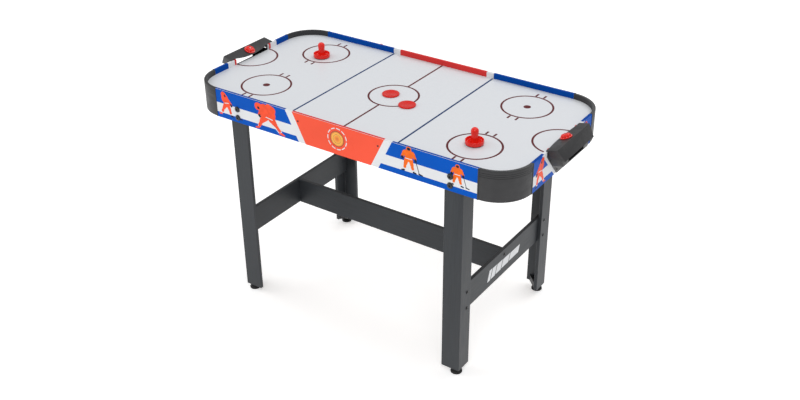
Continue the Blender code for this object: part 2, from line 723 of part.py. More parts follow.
def hood_mesh(inset):
    end = HOOD_END_HALF - inset
    half_steps = HOOD_VISOR_STEPS // 2
    visor = [HOOD_VISOR_HALF * i / half_steps for i in range(-half_steps, half_steps + 1)]
    return loft_mesh("hood", [hood_section(y, end, inset) for y in (-end, *visor, end)])


def dial_spot(sign, height):
    """The point on a dial's axis at this height above the hood."""
    out = LENGTH / 2 + DIAL_X - height * math.sin(DIAL_TILT)
    return (sign * out, 0, DIAL_Z + height * math.cos(DIAL_TILT))


def tilted_rod(name, radius, low, high, steps):
    """A cylinder about the right dial's axis."""
    mesh = rod_mesh(name, radius, low, high, steps=steps)
    mesh.transform(Matrix.Rotation(-DIAL_TILT, 4, "Y"))
    return mesh


def make_goal_hoods():
    for name, turn in ENDS.items():
        hood = add_object(f"goal_hood_{name}", hood_mesh(0), "black_plastic", turn=turn)
        cut(hood, hood_mesh(MOULDING_WALL))
        for sign in (-1, 1):
            ys = sorted((sign * HOOD_VISOR_HALF, sign * (HOOD_END_HALF + OVERCUT)))
            low = (INNER_X - OVERCUT, ys[0], HOOD_BOTTOM - OVERCUT)
            high = (LENGTH / 2 + FLANGE_THICKNESS + 2 * GAP, ys[1], RAIL_TOP + GAP / 2)
            cut(hood, box_mesh("flange_room", low, high))
        low, high = DIAL_SEAT_RISE - DIAL_BOSS_HEIGHT, DIAL_SEAT_RISE
        join(hood, tilted_rod("dial_boss", DIAL_BOSS_RADIUS, low, high, 24), dial_spot(1, 0))
        hole = tilted_rod("dial_hole", DIAL_SCREW_RADIUS + GAP, -OVERCUT, OVERCUT, 16)
        cut(hood, hole, dial_spot(1, 0))


def make_dials():
    bore = DIAL_SCREW_RADIUS + DIAL_CLEARANCE
    head_room = DIAL_SCREW_HEAD + DIAL_CLEARANCE
    profile = [
        (head_room, DIAL_HEIGHT),
        (DIAL_DOME_RADIUS * 0.55, DIAL_HEIGHT * 0.98),
        (DIAL_DOME_RADIUS * 0.85, DIAL_HEIGHT * 0.85),
        (DIAL_DOME_RADIUS, DIAL_HEIGHT * 0.60),
        (DIAL_DOME_RADIUS, DIAL_SKIRT_HEIGHT),
        (DIAL_SKIRT_RADIUS - DIAL_SKIRT_BEVEL, DIAL_SKIRT_HEIGHT),
        (DIAL_SKIRT_RADIUS, DIAL_SKIRT_HEIGHT - DIAL_SKIRT_BEVEL),
        (DIAL_SKIRT_RADIUS, 0),
        (bore, 0),
        (bore, DIAL_SHELF),
        (head_room, DIAL_SHELF),
    ]
    screw_top = DIAL_HEIGHT - DIAL_SCREW_SINK
    screw_profile = [
        (0, screw_top),
        (DIAL_SCREW_HEAD - DIAL_SCREW_BEVEL, screw_top),
        (DIAL_SCREW_HEAD, screw_top - DIAL_SCREW_BEVEL),
        (DIAL_SCREW_HEAD, DIAL_SHELF + GAP),
        (DIAL_SCREW_RADIUS, DIAL_SHELF + GAP),
        (DIAL_SCREW_RADIUS, -DIAL_SCREW_DEPTH),
        (0, -DIAL_SCREW_DEPTH),
    ]
    for name, turn in ENDS.items():
        sign = math.cos(turn)
        place = dial_spot(sign, DIAL_SEAT_RISE + GAP)
        dial = turned(f"score_dial_{name}", profile, "red_plastic", place, 24, closed=True)
        dial.rotation_euler.y = -sign * DIAL_TILT
        reach = DIAL_DOME_RADIUS + DIAL_NOTCH_RADIUS * 0.45
        for i in range(DIAL_NOTCHES):
            angle = math.tau * i / DIAL_NOTCHES
            low, high = DIAL_SKIRT_HEIGHT + GAP, DIAL_HEIGHT + OVERCUT
            notch = rod_mesh("notch", DIAL_NOTCH_RADIUS, low, high, steps=8)
            cut(dial, notch, (reach * math.cos(angle), reach * math.sin(angle), 0))
        screw = turned(f"dial_screw_{name}", screw_profile, "plated_steel", place, 12)
        screw.rotation_euler.y = -sign * DIAL_TILT


# ---- Pushers and pucks
def make_pushers():
    foot = FELT_THICKNESS + 2 * GAP
    inside = PUSHER_RADIUS - PUSHER_WALL
    handle = PUSHER_HANDLE_RADIUS
    profile = [(0, PUSHER_HEIGHT)]
    for angle in (25, 50, 70, 90):
        turn = math.radians(angle)
        drop = (1 - math.cos(turn)) * handle * 0.8
        profile.append((handle * math.sin(turn), PUSHER_HEIGHT - drop))
    profile += [
        (handle * 0.97, PUSHER_HEIGHT - handle * 1.3),
        (PUSHER_NECK_RADIUS, PUSHER_HEIGHT * 0.45),
        (PUSHER_NECK_RADIUS * 1.07, PUSHER_HEIGHT * 0.20),
        (PUSHER_ROOT_RADIUS, foot + PUSHER_FLOOR),
        (inside - PUSHER_FLOOR_FILLET, foot + PUSHER_FLOOR),
        (inside, foot + PUSHER_FLOOR + PUSHER_FLOOR_FILLET),
        (inside, PUSHER_RIM_HEIGHT - PUSHER_RIM_ROUND),
        (inside + PUSHER_RIM_ROUND, PUSHER_RIM_HEIGHT),
        (PUSHER_RADIUS - PUSHER_RIM_ROUND, PUSHER_RIM_HEIGHT),
        (PUSHER_RADIUS, PUSHER_RIM_HEIGHT - PUSHER_RIM_ROUND),
        (PUSHER_RADIUS, foot + PUSHER_FOOT_BEVEL),
        (PUSHER_RADIUS - PUSHER_FOOT_BEVEL, foot),
        (0, foot),
    ]
    felt = [(0, GAP + FELT_THICKNESS), (FELT_RADIUS, GAP + FELT_THICKNESS), (FELT_RADIUS, GAP), (0, GAP)]
    for name, (x, y) in PUSHER_PLACES.items():
        turned(f"pusher_{name}", profile, "red_plastic", (x, y, PLAY_Z), 24)
        turned(f"pusher_felt_{name}", felt, "felt", (x, y, PLAY_Z), 24)


def make_pucks():
    top = GAP + PUCK_THICKNESS
    profile = [
        (0, top),
        (PUCK_RADIUS - PUCK_BEVEL, top),
        (PUCK_RADIUS, top - PUCK_BEVEL),
        (PUCK_RADIUS, GAP + PUCK_BEVEL),
        (PUCK_RADIUS - PUCK_BEVEL, GAP),
        (0, GAP),
    ]
    for name, (x, y) in PUCK_PLACES.items():
        turned(f"puck_{name}", profile, "red_plastic", (x, y, PLAY_Z), 32)


# ---- Fan
def make_fan_frame():
    half = FAN_SIDE / 2
    body = box_mesh("fan_frame", (-half, -half, FAN_BOTTOM), (half, half, FAN_TOP))
    frame = add_object("fan_frame", body, "black_plastic")
    bevel(frame, FAN_CORNER, 2, 80)
    low, high = FAN_BOTTOM - OVERCUT, FAN_TOP + OVERCUT
    cut(frame, rod_mesh("fan_bore", FAN_BORE, low, high, steps=32))
    for sign_x in (-1, 1):
        for sign_y in (-1, 1):
            hole = rod_mesh("mount_hole", FAN_MOUNT_HOLE, low, high, steps=10)
            cut(frame, hole, (sign_x * FAN_MOUNT_PITCH / 2, sign_y * FAN_MOUNT_PITCH / 2, 0))
    base_top = FAN_BOTTOM + FAN_BASE
    for angle in (math.pi / 4, -math.pi / 4):
        reach = FAN_BORE + FAN_STRUT_ROOT
        low = (-reach, -FAN_STRUT_WIDTH / 2, FAN_BOTTOM + GAP)
        strut = box_mesh("strut", low, (reach, FAN_STRUT_WIDTH / 2, base_top - GAP))
        strut.transform(Matrix.Rotation(angle, 4, "Z"))
        join(frame, strut)
    join(frame, rod_mesh("motor_base", FAN_HUB_RADIUS, FAN_BOTTOM + GAP / 2, base_top, steps=24))


def blade_mesh():
    """A blade from the hub to its tip, pitched less towards the tip."""
    points = []
    root = (FAN_HUB_RADIUS - FAN_BLADE_SINK, *FAN_ROOT_BLADE)
    for radius, pitch, chord in (root, (FAN_BLADE_TIP, *FAN_TIP_BLADE)):
        for along in (-chord / 2, chord / 2):
            for across in (-FAN_BLADE_THICKNESS / 2, FAN_BLADE_THICKNESS / 2):
                y = along * math.cos(pitch) - across * math.sin(pitch)
                z = along * math.sin(pitch) + across * math.cos(pitch)
                points.append((radius, y, z))
    return hull_mesh("blade", points)


def make_fan_rotor():
    base = FAN_BOTTOM + FAN_BASE + FAN_HUB_LIFT
    inside = FAN_HUB_RADIUS - FAN_HUB_WALL
    bore = FAN_SHAFT_RADIUS + GAP
    crown = FAN_HUB_HEIGHT - FAN_HUB_WALL
    profile = [
        (0, FAN_HUB_HEIGHT),
        (FAN_HUB_RADIUS - FAN_HUB_BEVEL, FAN_HUB_HEIGHT),
        (FAN_HUB_RADIUS, FAN_HUB_HEIGHT - FAN_HUB_BEVEL),
        (FAN_HUB_RADIUS, 0),
        (inside, 0),
        (inside, crown),
        (bore + FAN_SLEEVE, crown),
        (bore + FAN_SLEEVE, crown - FAN_SLEEVE),
        (bore, crown - FAN_SLEEVE),
        (bore, FAN_HUB_HEIGHT - FAN_CROWN_SKIN),
        (0, FAN_HUB_HEIGHT - FAN_CROWN_SKIN),
    ]
    rotor = turned("fan_rotor", profile, "black_plastic", (0, 0, base), 24)
    for i in range(FAN_BLADES):
        blade = blade_mesh()
        blade.transform(Matrix.Rotation(math.tau * i / FAN_BLADES, 4, "Z"))
        join(rotor, blade, (0, 0, FAN_HUB_HEIGHT / 2))


def make_fan_motor():
    stator_top = FAN_HUB_HEIGHT - FAN_HUB_WALL - FAN_STATOR_DROP
    shaft_top = FAN_HUB_HEIGHT + FAN_HUB_LIFT - FAN_CROWN_SKIN - GAP
    profile = [
        (0, shaft_top),
        (FAN_SHAFT_RADIUS, shaft_top),
        (FAN_SHAFT_RADIUS, stator_top),
        (FAN_STATOR_RADIUS, stator_top),
        (FAN_STATOR_RADIUS, GAP),
        (0, GAP),
    ]
    turned("fan_motor", profile, "plated_steel", (0, 0, FAN_BOTTOM + FAN_BASE), 20)


def make_fan_guard():
    top = FAN_BOTTOM - GAP
    bottom = top - GUARD_WIRE
    guard = None
    for radius in GUARD_RINGS:
        outer = radius + GUARD_WIRE / 2
        inner = radius - GUARD_WIRE / 2
        profile = [(outer, top), (outer, bottom), (inner, bottom), (inner, top)]
        if guard is None:
            guard = turned("fan_guard", profile, "plated_steel", steps=20, closed=True)
        else:
            ring = turned(f"ring_{radius}", profile, None, steps=20, closed=True)
            modifier = guard.modifiers.new("ring", "BOOLEAN")
            modifier.operation = "UNION"
            modifier.object = ring
    reach = math.hypot(FAN_MOUNT_PITCH / 2, FAN_MOUNT_PITCH / 2)
    for angle in (math.pi / 4, -math.pi / 4):
        low = (-reach, -GUARD_WIRE, bottom + GUARD_WIRE / 4)
        high = (reach, GUARD_WIRE, top - GUARD_WIRE / 4)
        bar = box_mesh("guard_bar", low, high)
        bar.transform(Matrix.Rotation(angle, 4, "Z"))
        join(guard, bar)


# ---- Switch and inlet
def make_switch():
    """A rocker in its housing. The housing is pushed into the back apron from outside."""
    face = WIDTH / 2 + GAP
    half_x, half_z = (side / 2 for side in SWITCH_BEZEL)
    low = (-half_x, face, -half_z)
    bezel = box_mesh("bezel", low, (half_x, face + SWITCH_BEZEL_HEIGHT, half_z))
    housing = add_object("switch_housing", bezel, "black_plastic", (SWITCH_X, 0, SWITCH_Z))
    half_x, half_z = (side / 2 for side in SWITCH_BODY)
    low = (-half_x, face - SWITCH_DEPTH, -half_z)
    join(housing, box_mesh("switch_body", low, (half_x, face + SWITCH_BEZEL_HEIGHT / 2, half_z)))
    room_x = math.hypot(ROCKER_LENGTH / 2, ROCKER_BACK) + GAP
    room_z = ROCKER_WIDTH / 2 + GAP
    low = (-room_x, face - ROCKER_BACK - ROCKER_ROOM, -room_z)
    cut(housing, box_mesh("rocker_room", low, (room_x, face + OVERCUT, room_z)))
    low = (-ROCKER_LENGTH / 2, -ROCKER_BACK, -ROCKER_WIDTH / 2)
    high = (ROCKER_LENGTH / 2, ROCKER_FRONT, ROCKER_WIDTH / 2)
    place = (SWITCH_X, face, SWITCH_Z)
    rocker_mesh = box_mesh("switch_rocker", low, high)
    rocker = add_object("switch_rocker", rocker_mesh, "red_plastic", place, -ROCKER_TILT)
    bevel(rocker, ROCKER_BEVEL)


def make_inlet():
    profile = [
        (INLET_FLANGE_RADIUS - INLET_BEVEL, INLET_FLANGE_HEIGHT),
        (INLET_FLANGE_RADIUS, INLET_FLANGE_HEIGHT - INLET_BEVEL),
        (INLET_FLANGE_RADIUS, 0),
        (INLET_RADIUS, 0),
        (INLET_RADIUS, -INLET_LENGTH),
        (0, -INLET_LENGTH),
        (0, INLET_END - INLET_LENGTH),
        (INLET_BORE, INLET_END - INLET_LENGTH),
        (INLET_BORE, INLET_FLANGE_HEIGHT),
    ]
    place = (INLET_X, WIDTH / 2 + GAP, SWITCH_Z)
    inlet = turned("power_inlet", profile, "black_plastic", place, 20, closed=True)
    inlet.rotation_euler.x = -math.pi / 2


def main():
    global PARTS, CUTTERS
    clear_scene()
    PARTS = new_collection("air_hockey_table")
    CUTTERS = new_collection("cutters")
    make_materials()
    make_surface()
    make_bottom_panel()
    make_spacers()
    make_side_aprons()
    make_end_aprons()
    make_caps()
    make_legs()
    make_foot_blocks()
    make_feet()
    make_stretchers()
    make_leg_bolts()
    make_goal_boxes()
    make_goal_hoods()
    make_dials()
    make_pushers()
    make_pucks()
    make_fan_frame()
    make_fan_rotor()
    make_fan_motor()
    make_fan_guard()
    make_switch()
    make_inlet()


main()
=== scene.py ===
"""The finished look of the air hockey table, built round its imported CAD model.

Everything is in metres in the table's own frame: X along the table, -Y its front, +Z up.
"""

import math

import bmesh
import bpy
from mathutils import Matrix, Vector
from mathutils.geometry import convex_hull_2d


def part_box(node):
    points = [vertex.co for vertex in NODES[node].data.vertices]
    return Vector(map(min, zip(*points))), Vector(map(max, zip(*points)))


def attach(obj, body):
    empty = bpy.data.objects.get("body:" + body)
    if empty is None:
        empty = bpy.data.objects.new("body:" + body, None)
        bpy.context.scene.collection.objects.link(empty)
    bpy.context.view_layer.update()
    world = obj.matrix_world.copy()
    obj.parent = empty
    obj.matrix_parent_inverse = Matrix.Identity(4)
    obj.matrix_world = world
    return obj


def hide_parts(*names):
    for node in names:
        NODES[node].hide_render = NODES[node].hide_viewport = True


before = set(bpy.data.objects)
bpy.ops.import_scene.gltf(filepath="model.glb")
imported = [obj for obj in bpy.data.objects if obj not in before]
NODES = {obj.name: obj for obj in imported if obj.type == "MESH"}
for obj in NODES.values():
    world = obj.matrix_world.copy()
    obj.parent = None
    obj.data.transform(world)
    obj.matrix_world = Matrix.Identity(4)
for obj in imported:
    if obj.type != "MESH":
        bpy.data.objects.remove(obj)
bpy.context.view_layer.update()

# ---- Places read from the frame
FRONT_LOW, FRONT_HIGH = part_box("front_apron")
END_LOW, END_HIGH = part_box("right_apron")
SURFACE_LOW, SURFACE_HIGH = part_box("playing_surface")
RAIL_TOP = FRONT_HIGH.z
APRON_BOTTOM = FRONT_LOW.z
OUTER_Y = -FRONT_LOW.y
INNER_Y = -FRONT_HIGH.y
SIDE_HALF = FRONT_HIGH.x
OUTER_X = END_HIGH.x
INNER_X = END_LOW.x
END_HALF = END_HIGH.y
PLAY_Z = SURFACE_HIGH.z
BOARD = OUTER_Y - INNER_Y
CORNERS = {"front_left": (-1, -1), "front_right": (1, -1), "back_left": (-1, 1), "back_right": (1, 1)}
ENDS = {"left": -1, "right": 1}

# ---- Thin prints, from the board outwards
SINK = 0.00002  # how far a print starts inside the board
FILM = 0.00008
STRIPE_LIFT = 0.00004
LAYER = 0.00003  # thickness of one limb of a player
LAYER_STEP = 0.000012  # from one limb to the next

# ---- Apron artwork
STRIPE_EDGES = ((0.675, 0.694), (0.728, 0.775))  # lower and upper blue stripe
SIDE_SLANT = 0.5  # how far the slanted ends run out per metre of height
SIDE_BLUE_FOOT = 0.1525  # half width between the blue stripes at the bottom edge
SIDE_RED_FOOT = 0.125
END_SLANT = 0.88
END_BLUE_FOOT = 0.052
RAIL_BLUE_END = 0.127  # on the end aprons' top and inside
RAIL_RED_END = 0.095
RAIL_RED_START = 0.086  # clear of the goal
MEDAL_Z = 0.7285
MEDAL_RADIUS = 0.0255
MEDAL_RINGS = (0.0265, 0.015)
MEDAL_RING_WIDTH = 0.0007
DASHES = 11
DASH_SPAN = (0.14, 0.86)  # share of the pitch that a dash fills
DASH_RADIUS = 0.0355
DASH_WIDTH = 0.0034
RAIL_HIGHLIGHT_LINE = 0.0016  # pale line of white film left along the rail's outer edge: a painted highlight

# ---- Marks on the playing surface
LINE = 0.0066
ZONE_LINE_X = 0.200
CIRCLE_RADIUS = 0.082
CIRCLE_X = 0.401
CIRCLE_Y = 0.162
SPOT_RADIUS = 0.012
TICK_X = 0.014
TICK_LENGTH = 0.020
CREASE_RADIUS = 0.084
HOLE_PITCH = 0.0254
HOLE_RADIUS = 0.0005
HOLE_MARGIN = 0.020  # no hole is nearer the board's edge
MARK_MARGIN = 0.0005  # board's edge to the lines' ends

# ---- Corner caps
CAP_GAP = 0.0003  # apron's end to the cap
CAP_EDGE = 0.0016  # rounding of the cap's upper edge
GROOVES = 3
GROOVE_TOP = 0.010  # rail's top to the first groove
GROOVE_PITCH = 0.006
GROOVE_DEPTH = 0.0009
GROOVE_WIDTH = 0.0016
GROOVE_SLOPE = 0.0004
LIP_RISE = 0.0004  # past the aprons' top and bottom
LIP_ALONG = (-0.0022, 0.0016)  # limits along the apron, from its end
LIP_ACROSS = (-0.004, 0.0011)  # limits across the board, from its outer face
TONGUE_ALONG = (-0.027, 0.012)
TONGUE_ACROSS = (-0.0033, -0.0003)  # from the board's inner face
TONGUE_HEIGHTS = (0.690, 0.735)
MOULDED_BEVEL = 0.0004

# ---- Levelling feet, measured up from the floor
PAD_TOP = 0.0095
PAD_RIM = 0.0048
PAD_RIBS = 3
PAD_RIB_PITCH = 0.0015
PAD_RIB_DEPTH = 0.0005
NECK_RADIUS = 0.0075
NECK_TOP = 0.0197
STEM_RADIUS = 0.0038
STEM_ROOT = 0.0031
STEM_TOP = 0.037
THREAD_TURNS = 10
THREAD_PITCH = 0.0017

# ---- Bolts and screws
BOLT = (0.004, 0.003, 0.025, 0.003)  # height, shank, length, socket
BOLT_SEAT = 0.0003  # apron's face to the head
SMALL_BOLT = (0.0056, 0.0024, 0.0028, 0.002, 0.0022)  # radius, height, shank, length, socket
SMALL_BOLT_Y = 0.256  # bolts through the legs
UPPER_BOLT_DROP = 0.0165  # end stretcher's top down to the bolts
LOWER_BOLT_RISE = 0.0185
MIDDLE_BOLT_DROP = 0.021
PANEL_SCREW = (0.003, 0.0012)  # radius, height
PANEL_SCREW_X = 0.152
PANEL_SCREW_Z = 0.748
GOAL_FLANGE = 0.0027
GOAL_SCREW = (0.0028, 0.0014)
GOAL_SCREW_Y = 0.041
GOAL_SCREW_Z = 0.6885

# ---- Bars printed on the end stretchers
BARS = ((-0.102, -0.084), (-0.080, -0.054), (-0.050, -0.016), (-0.012, 0.034), (0.038, 0.102))
BAR_LOW = 0.250
BAR_HIGH = 0.289
BAR_MIDDLE = (BAR_LOW + BAR_HIGH) / 2
BAR_SLANT = 0.35
BAR_TAPER = 0.0015  # taken off both ends of every further bar

# ---- Score dials, square to the sloping hoods
DIAL_X = 0.006  # where the axis meets the hood, out from the apron's face
DIAL_Z = 0.7774
DIAL_TILT = math.atan(0.3659)
DIAL_SEAT = 0.0011  # hood to the dial's underside
DIAL_RADIUS = 0.019
DIAL_HEIGHT = 0.0105
DIAL_SKIRT = 0.003
GRIP_RADIUS = 0.0152
GRIP_SCALLOPS = 10
GRIP_SCALLOP_DEPTH = 0.0013
DIGITS = 10
DIGIT_SIZE = 0.0037
DIGIT_EXTRUDE = 0.00004
DIGIT_BOLD = 0.00016  # how far each stroke is thickened
DIGIT_REACH = DIAL_RADIUS - 0.0023

# ---- Pushers, measured up from the playing surface
KNOB_RADIUS = 0.012
RIM_HEIGHT = 0.015
RIM_ROUND = 0.00125
DISH_FLOOR = 0.0031  # above the pusher's underside
DISH_CORNER = 0.003
DISH_WALL = 0.003

# ---- Pucks
PUCK_BEVEL = 0.001
PUCK_ROUND = 0.0003
PUCK_DIP = 0.0006

# ---- Camera
CAMERA_PLACE = (1.7399, -2.5107, 2.1513)
CAMERA_AZIMUTH = math.radians(34.386)
CAMERA_ELEVATION = math.radians(30.320)
CAMERA_ROLL = math.radians(-0.4086)
LENS = 46.39


# ---- Node helpers for the materials
def new_material(name):
    made = bpy.data.materials.new(name)
    made.use_nodes = True
    return made, made.node_tree, made.node_tree.nodes["Principled BSDF"]


def set_inputs(node, values):
    for name, value in values.items():
        node.inputs[name].default_value = value


def add_noise(tree, scale, detail=3.0, stretch=(1, 1, 1), seed=0.0):
    coords = tree.nodes.new("ShaderNodeTexCoord")
    mapping = tree.nodes.new("ShaderNodeMapping")
    set_inputs(mapping, {"Scale": stretch, "Location": (seed, seed * 0.7, seed * 0.3)})
    noise = tree.nodes.new("ShaderNodeTexNoise")
    set_inputs(noise, {"Scale": scale, "Detail": detail})
    tree.links.new(coords.outputs["Object"], mapping.inputs["Vector"])
    tree.links.new(mapping.outputs["Vector"], noise.inputs["Vector"])
    return noise.outputs["Fac"]


def add_ramp(tree, value, stops):
    ramp = tree.nodes.new("ShaderNodeValToRGB")
    while len(ramp.color_ramp.elements) < len(stops):
        ramp.color_ramp.elements.new(0.5)
    for element, (place, colour) in zip(ramp.color_ramp.elements, stops):
        element.position = place
        element.color = (*colour, 1.0)
    tree.links.new(value, ramp.inputs["Fac"])
    return ramp.outputs["Color"]


def add_range(tree, value, low, high):
    made = tree.nodes.new("ShaderNodeMapRange")
    set_inputs(made, {"From Min": 0.3, "From Max": 0.7, "To Min": low, "To Max": high})
    tree.links.new(value, made.inputs["Value"])
    return made.outputs["Result"]


def add_bump(tree, shader, value, strength, distance):
    bump = tree.nodes.new("ShaderNodeBump")
    set_inputs(bump, {"Strength": strength, "Distance": distance})
    tree.links.new(value, bump.inputs["Height"])
    tree.links.new(bump.outputs["Normal"], shader.inputs["Normal"])


def shade(colour, factor):
    return tuple(min(1.0, part * factor) for part in colour)


def finish(
    name, colour, vary, blotch, rough, grain=900.0, bump=(0.15, 0.0002), metallic=0.0, coat=0.0, specular=0.5
):
    """A surface whose colour drifts over blotches, with a fine grain in its bump and gloss."""
    made, tree, shader = new_material(name)
    drift = add_noise(tree, blotch, 4.0, seed=1.0)
    stops = [(0.30, shade(colour, 1 - vary)), (0.70, shade(colour, 1 + vary))]
    tree.links.new(add_ramp(tree, drift, stops), shader.inputs["Base Color"])
    fine = add_noise(tree, grain, 2.0, seed=5.0)
    wear = add_noise(tree, blotch * 4, 5.0, seed=9.0)
    tree.links.new(add_range(tree, wear, *rough), shader.inputs["Roughness"])
    add_bump(tree, shader, fine, *bump)
    set_inputs(shader, {"Metallic": metallic, "Coat Weight": coat, "Specular IOR Level": specular})
    return made


def grained_board(name, colour, stretch, rough, depth):
    """Film or board with a drawn grain: fine streaks that run along the board."""
    made, tree, shader = new_material(name)
    streaks = add_noise(tree, 26.0, 6.0, stretch, 2.0)
    stops = [
        (0.36, shade(colour, 1 - depth)),
        (0.50, colour),
        (0.64, shade(colour, 1 + depth)),
    ]
    tree.links.new(add_ramp(tree, streaks, stops), shader.inputs["Base Color"])
    fine = add_noise(tree, 420.0, 2.0, stretch, 4.0)
    tree.links.new(add_range(tree, streaks, *rough), shader.inputs["Roughness"])
    add_bump(tree, shader, fine, 0.12, 0.0002)
    set_inputs(shader, {"Specular IOR Level": 0.35})
    return made


def felt_finish():
    made, tree, shader = new_material("felt")
    fibres = add_noise(tree, 1600.0, 6.0, (1, 1, 1), 3.0)
    stops = [(0.35, (0.012, 0.012, 0.014)), (0.65, (0.055, 0.055, 0.060))]
    tree.links.new(add_ramp(tree, fibres, stops), shader.inputs["Base Color"])
    add_bump(tree, shader, fibres, 0.8, 0.0005)
    set_inputs(shader, {"Roughness": 0.95, "Sheen Weight": 0.4})
    return made


def medal_finish():
    """Rings of orange about the object's own centre, redder in the middle."""
    made, tree, shader = new_material("medal_orange")
    coords = tree.nodes.new("ShaderNodeTexCoord")
    length = tree.nodes.new("ShaderNodeVectorMath")
    length.operation = "LENGTH"
    scaled = tree.nodes.new("ShaderNodeMath")
    scaled.operation = "MULTIPLY"
    scaled.inputs[1].default_value = 1 / MEDAL_RADIUS
    ripple = tree.nodes.new("ShaderNodeMath")
    ripple.operation = "MULTIPLY_ADD"
    ripple.inputs[1].default_value = 0.16
    tree.links.new(coords.outputs["Object"], length.inputs[0])
    tree.links.new(length.outputs["Value"], scaled.inputs[0])
    tree.links.new(add_noise(tree, 140.0, 2.0), ripple.inputs[0])
    tree.links.new(scaled.outputs["Value"], ripple.inputs[2])
    stops = [
        (0.05, (0.62, 0.10, 0.01)),
        (0.45, (0.85, 0.30, 0.02)),
        (0.70, (0.90, 0.45, 0.06)),
        (0.95, (0.82, 0.33, 0.03)),
        (1.00, (0.45, 0.10, 0.01)),
    ]
    colour = add_ramp(tree, ripple.outputs["Value"], stops)
    tree.links.new(colour, shader.inputs["Base Color"])
    set_inputs(shader, {"Roughness": 0.35})
    return made


CHARCOAL = (0.028, 0.032, 0.037)
ON_APRON = {"grain": 1100.0, "bump": (0.08, 0.0001), "specular": 0.05}
ON_RAIL = {**ON_APRON, "specular": 0.03}

# name: colour, how far it drifts, how fine the blotches are, roughness from and to, other settings
FINISHES = {
    "laminate": (
        (0.70, 0.72, 0.75), 0.002, 3.0, (0.30, 0.36),
        {"grain": 1400.0, "bump": (0.03, 0.0001), "specular": 0.25},
    ),
    "film_white": ((0.74, 0.75, 0.77), 0.03, 6.0, (0.28, 0.40), ON_APRON),
    "film_blue": ((0.001, 0.086, 0.47), 0.07, 6.0, (0.28, 0.40), ON_APRON),
    "film_red": ((0.90, 0.105, 0.055), 0.05, 6.0, (0.25, 0.36), ON_APRON),
    # The two rail films below are darker copies of film_blue and film_red: painted shade on the rails' tops
    # and insides.
    "rail_blue": ((0.001, 0.058, 0.33), 0.07, 6.0, (0.34, 0.46), ON_RAIL),
    "rail_red": ((0.66, 0.042, 0.040), 0.05, 6.0, (0.34, 0.46), ON_RAIL),
    "figure_red": ((0.90, 0.085, 0.030), 0.12, 60.0, (0.30, 0.40), {"specular": 0.12}),
    "figure_orange": ((0.88, 0.15, 0.012), 0.12, 60.0, (0.30, 0.40), {"specular": 0.12}),
    "figure_dark": ((0.010, 0.012, 0.030), 0.20, 60.0, (0.30, 0.40), {"specular": 0.12}),
    "line_maroon": ((0.105, 0.005, 0.008), 0.08, 20.0, (0.28, 0.38), {"specular": 0.15}),
    "line_navy": ((0.003, 0.034, 0.130), 0.08, 20.0, (0.28, 0.38), {"specular": 0.15}),
    "moulding": ((0.020, 0.020, 0.022), 0.10, 14.0, (0.38, 0.55), {"grain": 1500.0, "bump": (0.35, 0.0003)}),
    "fan_plastic": ((0.012, 0.012, 0.013), 0.10, 14.0, (0.30, 0.42), {"grain": 1800.0}),
    "gloss_red": (
        (0.80, 0.016, 0.008), 0.05, 25.0, (0.12, 0.22),
        {"grain": 700.0, "bump": (0.04, 0.0001), "coat": 0.15, "specular": 0.3},
    ),
    "puck_red": (
        (0.66, 0.016, 0.010), 0.06, 30.0, (0.22, 0.34),
        {"grain": 900.0, "bump": (0.10, 0.0001), "specular": 0.2},
    ),
    "numeral_white": ((0.85, 0.85, 0.85), 0.03, 30.0, (0.35, 0.45), {}),
    "black_cap": ((0.010, 0.010, 0.011), 0.10, 30.0, (0.22, 0.34), {"grain": 1200.0}),
    "zinc": ((0.60, 0.60, 0.58), 0.12, 90.0, (0.22, 0.42), {"grain": 1500.0, "metallic": 1.0}),
    "rubber": ((0.016, 0.016, 0.017), 0.15, 60.0, (0.60, 0.80), {"grain": 1500.0, "bump": (0.4, 0.0003)}),
}
# name: colour, stretch of the grain along each axis, roughness from and to, depth of the grain
BOARDS = {
    "leg_film": (CHARCOAL, (9, 9, 0.5), (0.38, 0.52), 0.13),
    "stretcher_film": (CHARCOAL, (0.5, 9, 9), (0.38, 0.52), 0.13),
    "end_stretcher_film": (CHARCOAL, (9, 0.5, 9), (0.38, 0.52), 0.13),
    "hardboard": ((0.22, 0.125, 0.065), (9, 9, 9), (0.65, 0.85), 0.16),
    "softwood": ((0.50, 0.33, 0.18), (2, 2, 9), (0.6, 0.8), 0.25),
}
LOOKS = {name: finish(name, *values, **settings) for name, (*values, settings) in FINISHES.items()}
LOOKS.update({name: grained_board(name, *values) for name, values in BOARDS.items()})
LOOKS["felt"] = felt_finish()
LOOKS["medal"] = medal_finish()


# ---- Mesh helpers
def add_to_scene(obj):
    bpy.context.scene.collection.objects.link(obj)


def new_piece(name, bm, look, body="root", replaces=(), location=(0, 0, 0), smooth=None, tilt=0.0):
    bmesh.ops.recalc_face_normals(bm, faces=bm.faces)
    mesh = bpy.data.meshes.new(name)
    bm.to_mesh(mesh)
    bm.free()
    mesh.materials.append(LOOKS[look])
    obj = bpy.data.objects.new(name, mesh)
    add_to_scene(obj)
    obj.location = location
    obj.rotation_euler.y = tilt
    if smooth is not None:
        mesh.shade_smooth()
        mesh.set_sharp_from_angle(angle=math.radians(smooth))
    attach(obj, body)
    for node in replaces:
        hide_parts(node)


def circle_points(centre_u, centre_v, radius, steps=32, start=0.0, end=math.tau):
    """Points on an arc. A full circle leaves out the last point, which would be the first."""
    full = abs(end - start - math.tau) < 1e-6
    angles = [start + (end - start) * i / steps for i in range(steps if full else steps + 1)]
    return [(centre_u + radius * math.cos(a), centre_v + radius * math.sin(a)) for a in angles]


def add_plate(bm, outline, place, low, high):
    """A flat outline as a closed plate. place(u, v, w) says where a point of it goes."""
    bottom = [bm.verts.new(place(u, v, low)) for u, v in outline]
    top = [bm.verts.new(place(u, v, high)) for u, v in outline]
    bm.faces.new(bottom[::-1])
    bm.faces.new(top)
    count = len(outline)
    for i in range(count):
        j = (i + 1) % count
        bm.faces.new((bottom[i], bottom[j], top[j], top[i]))


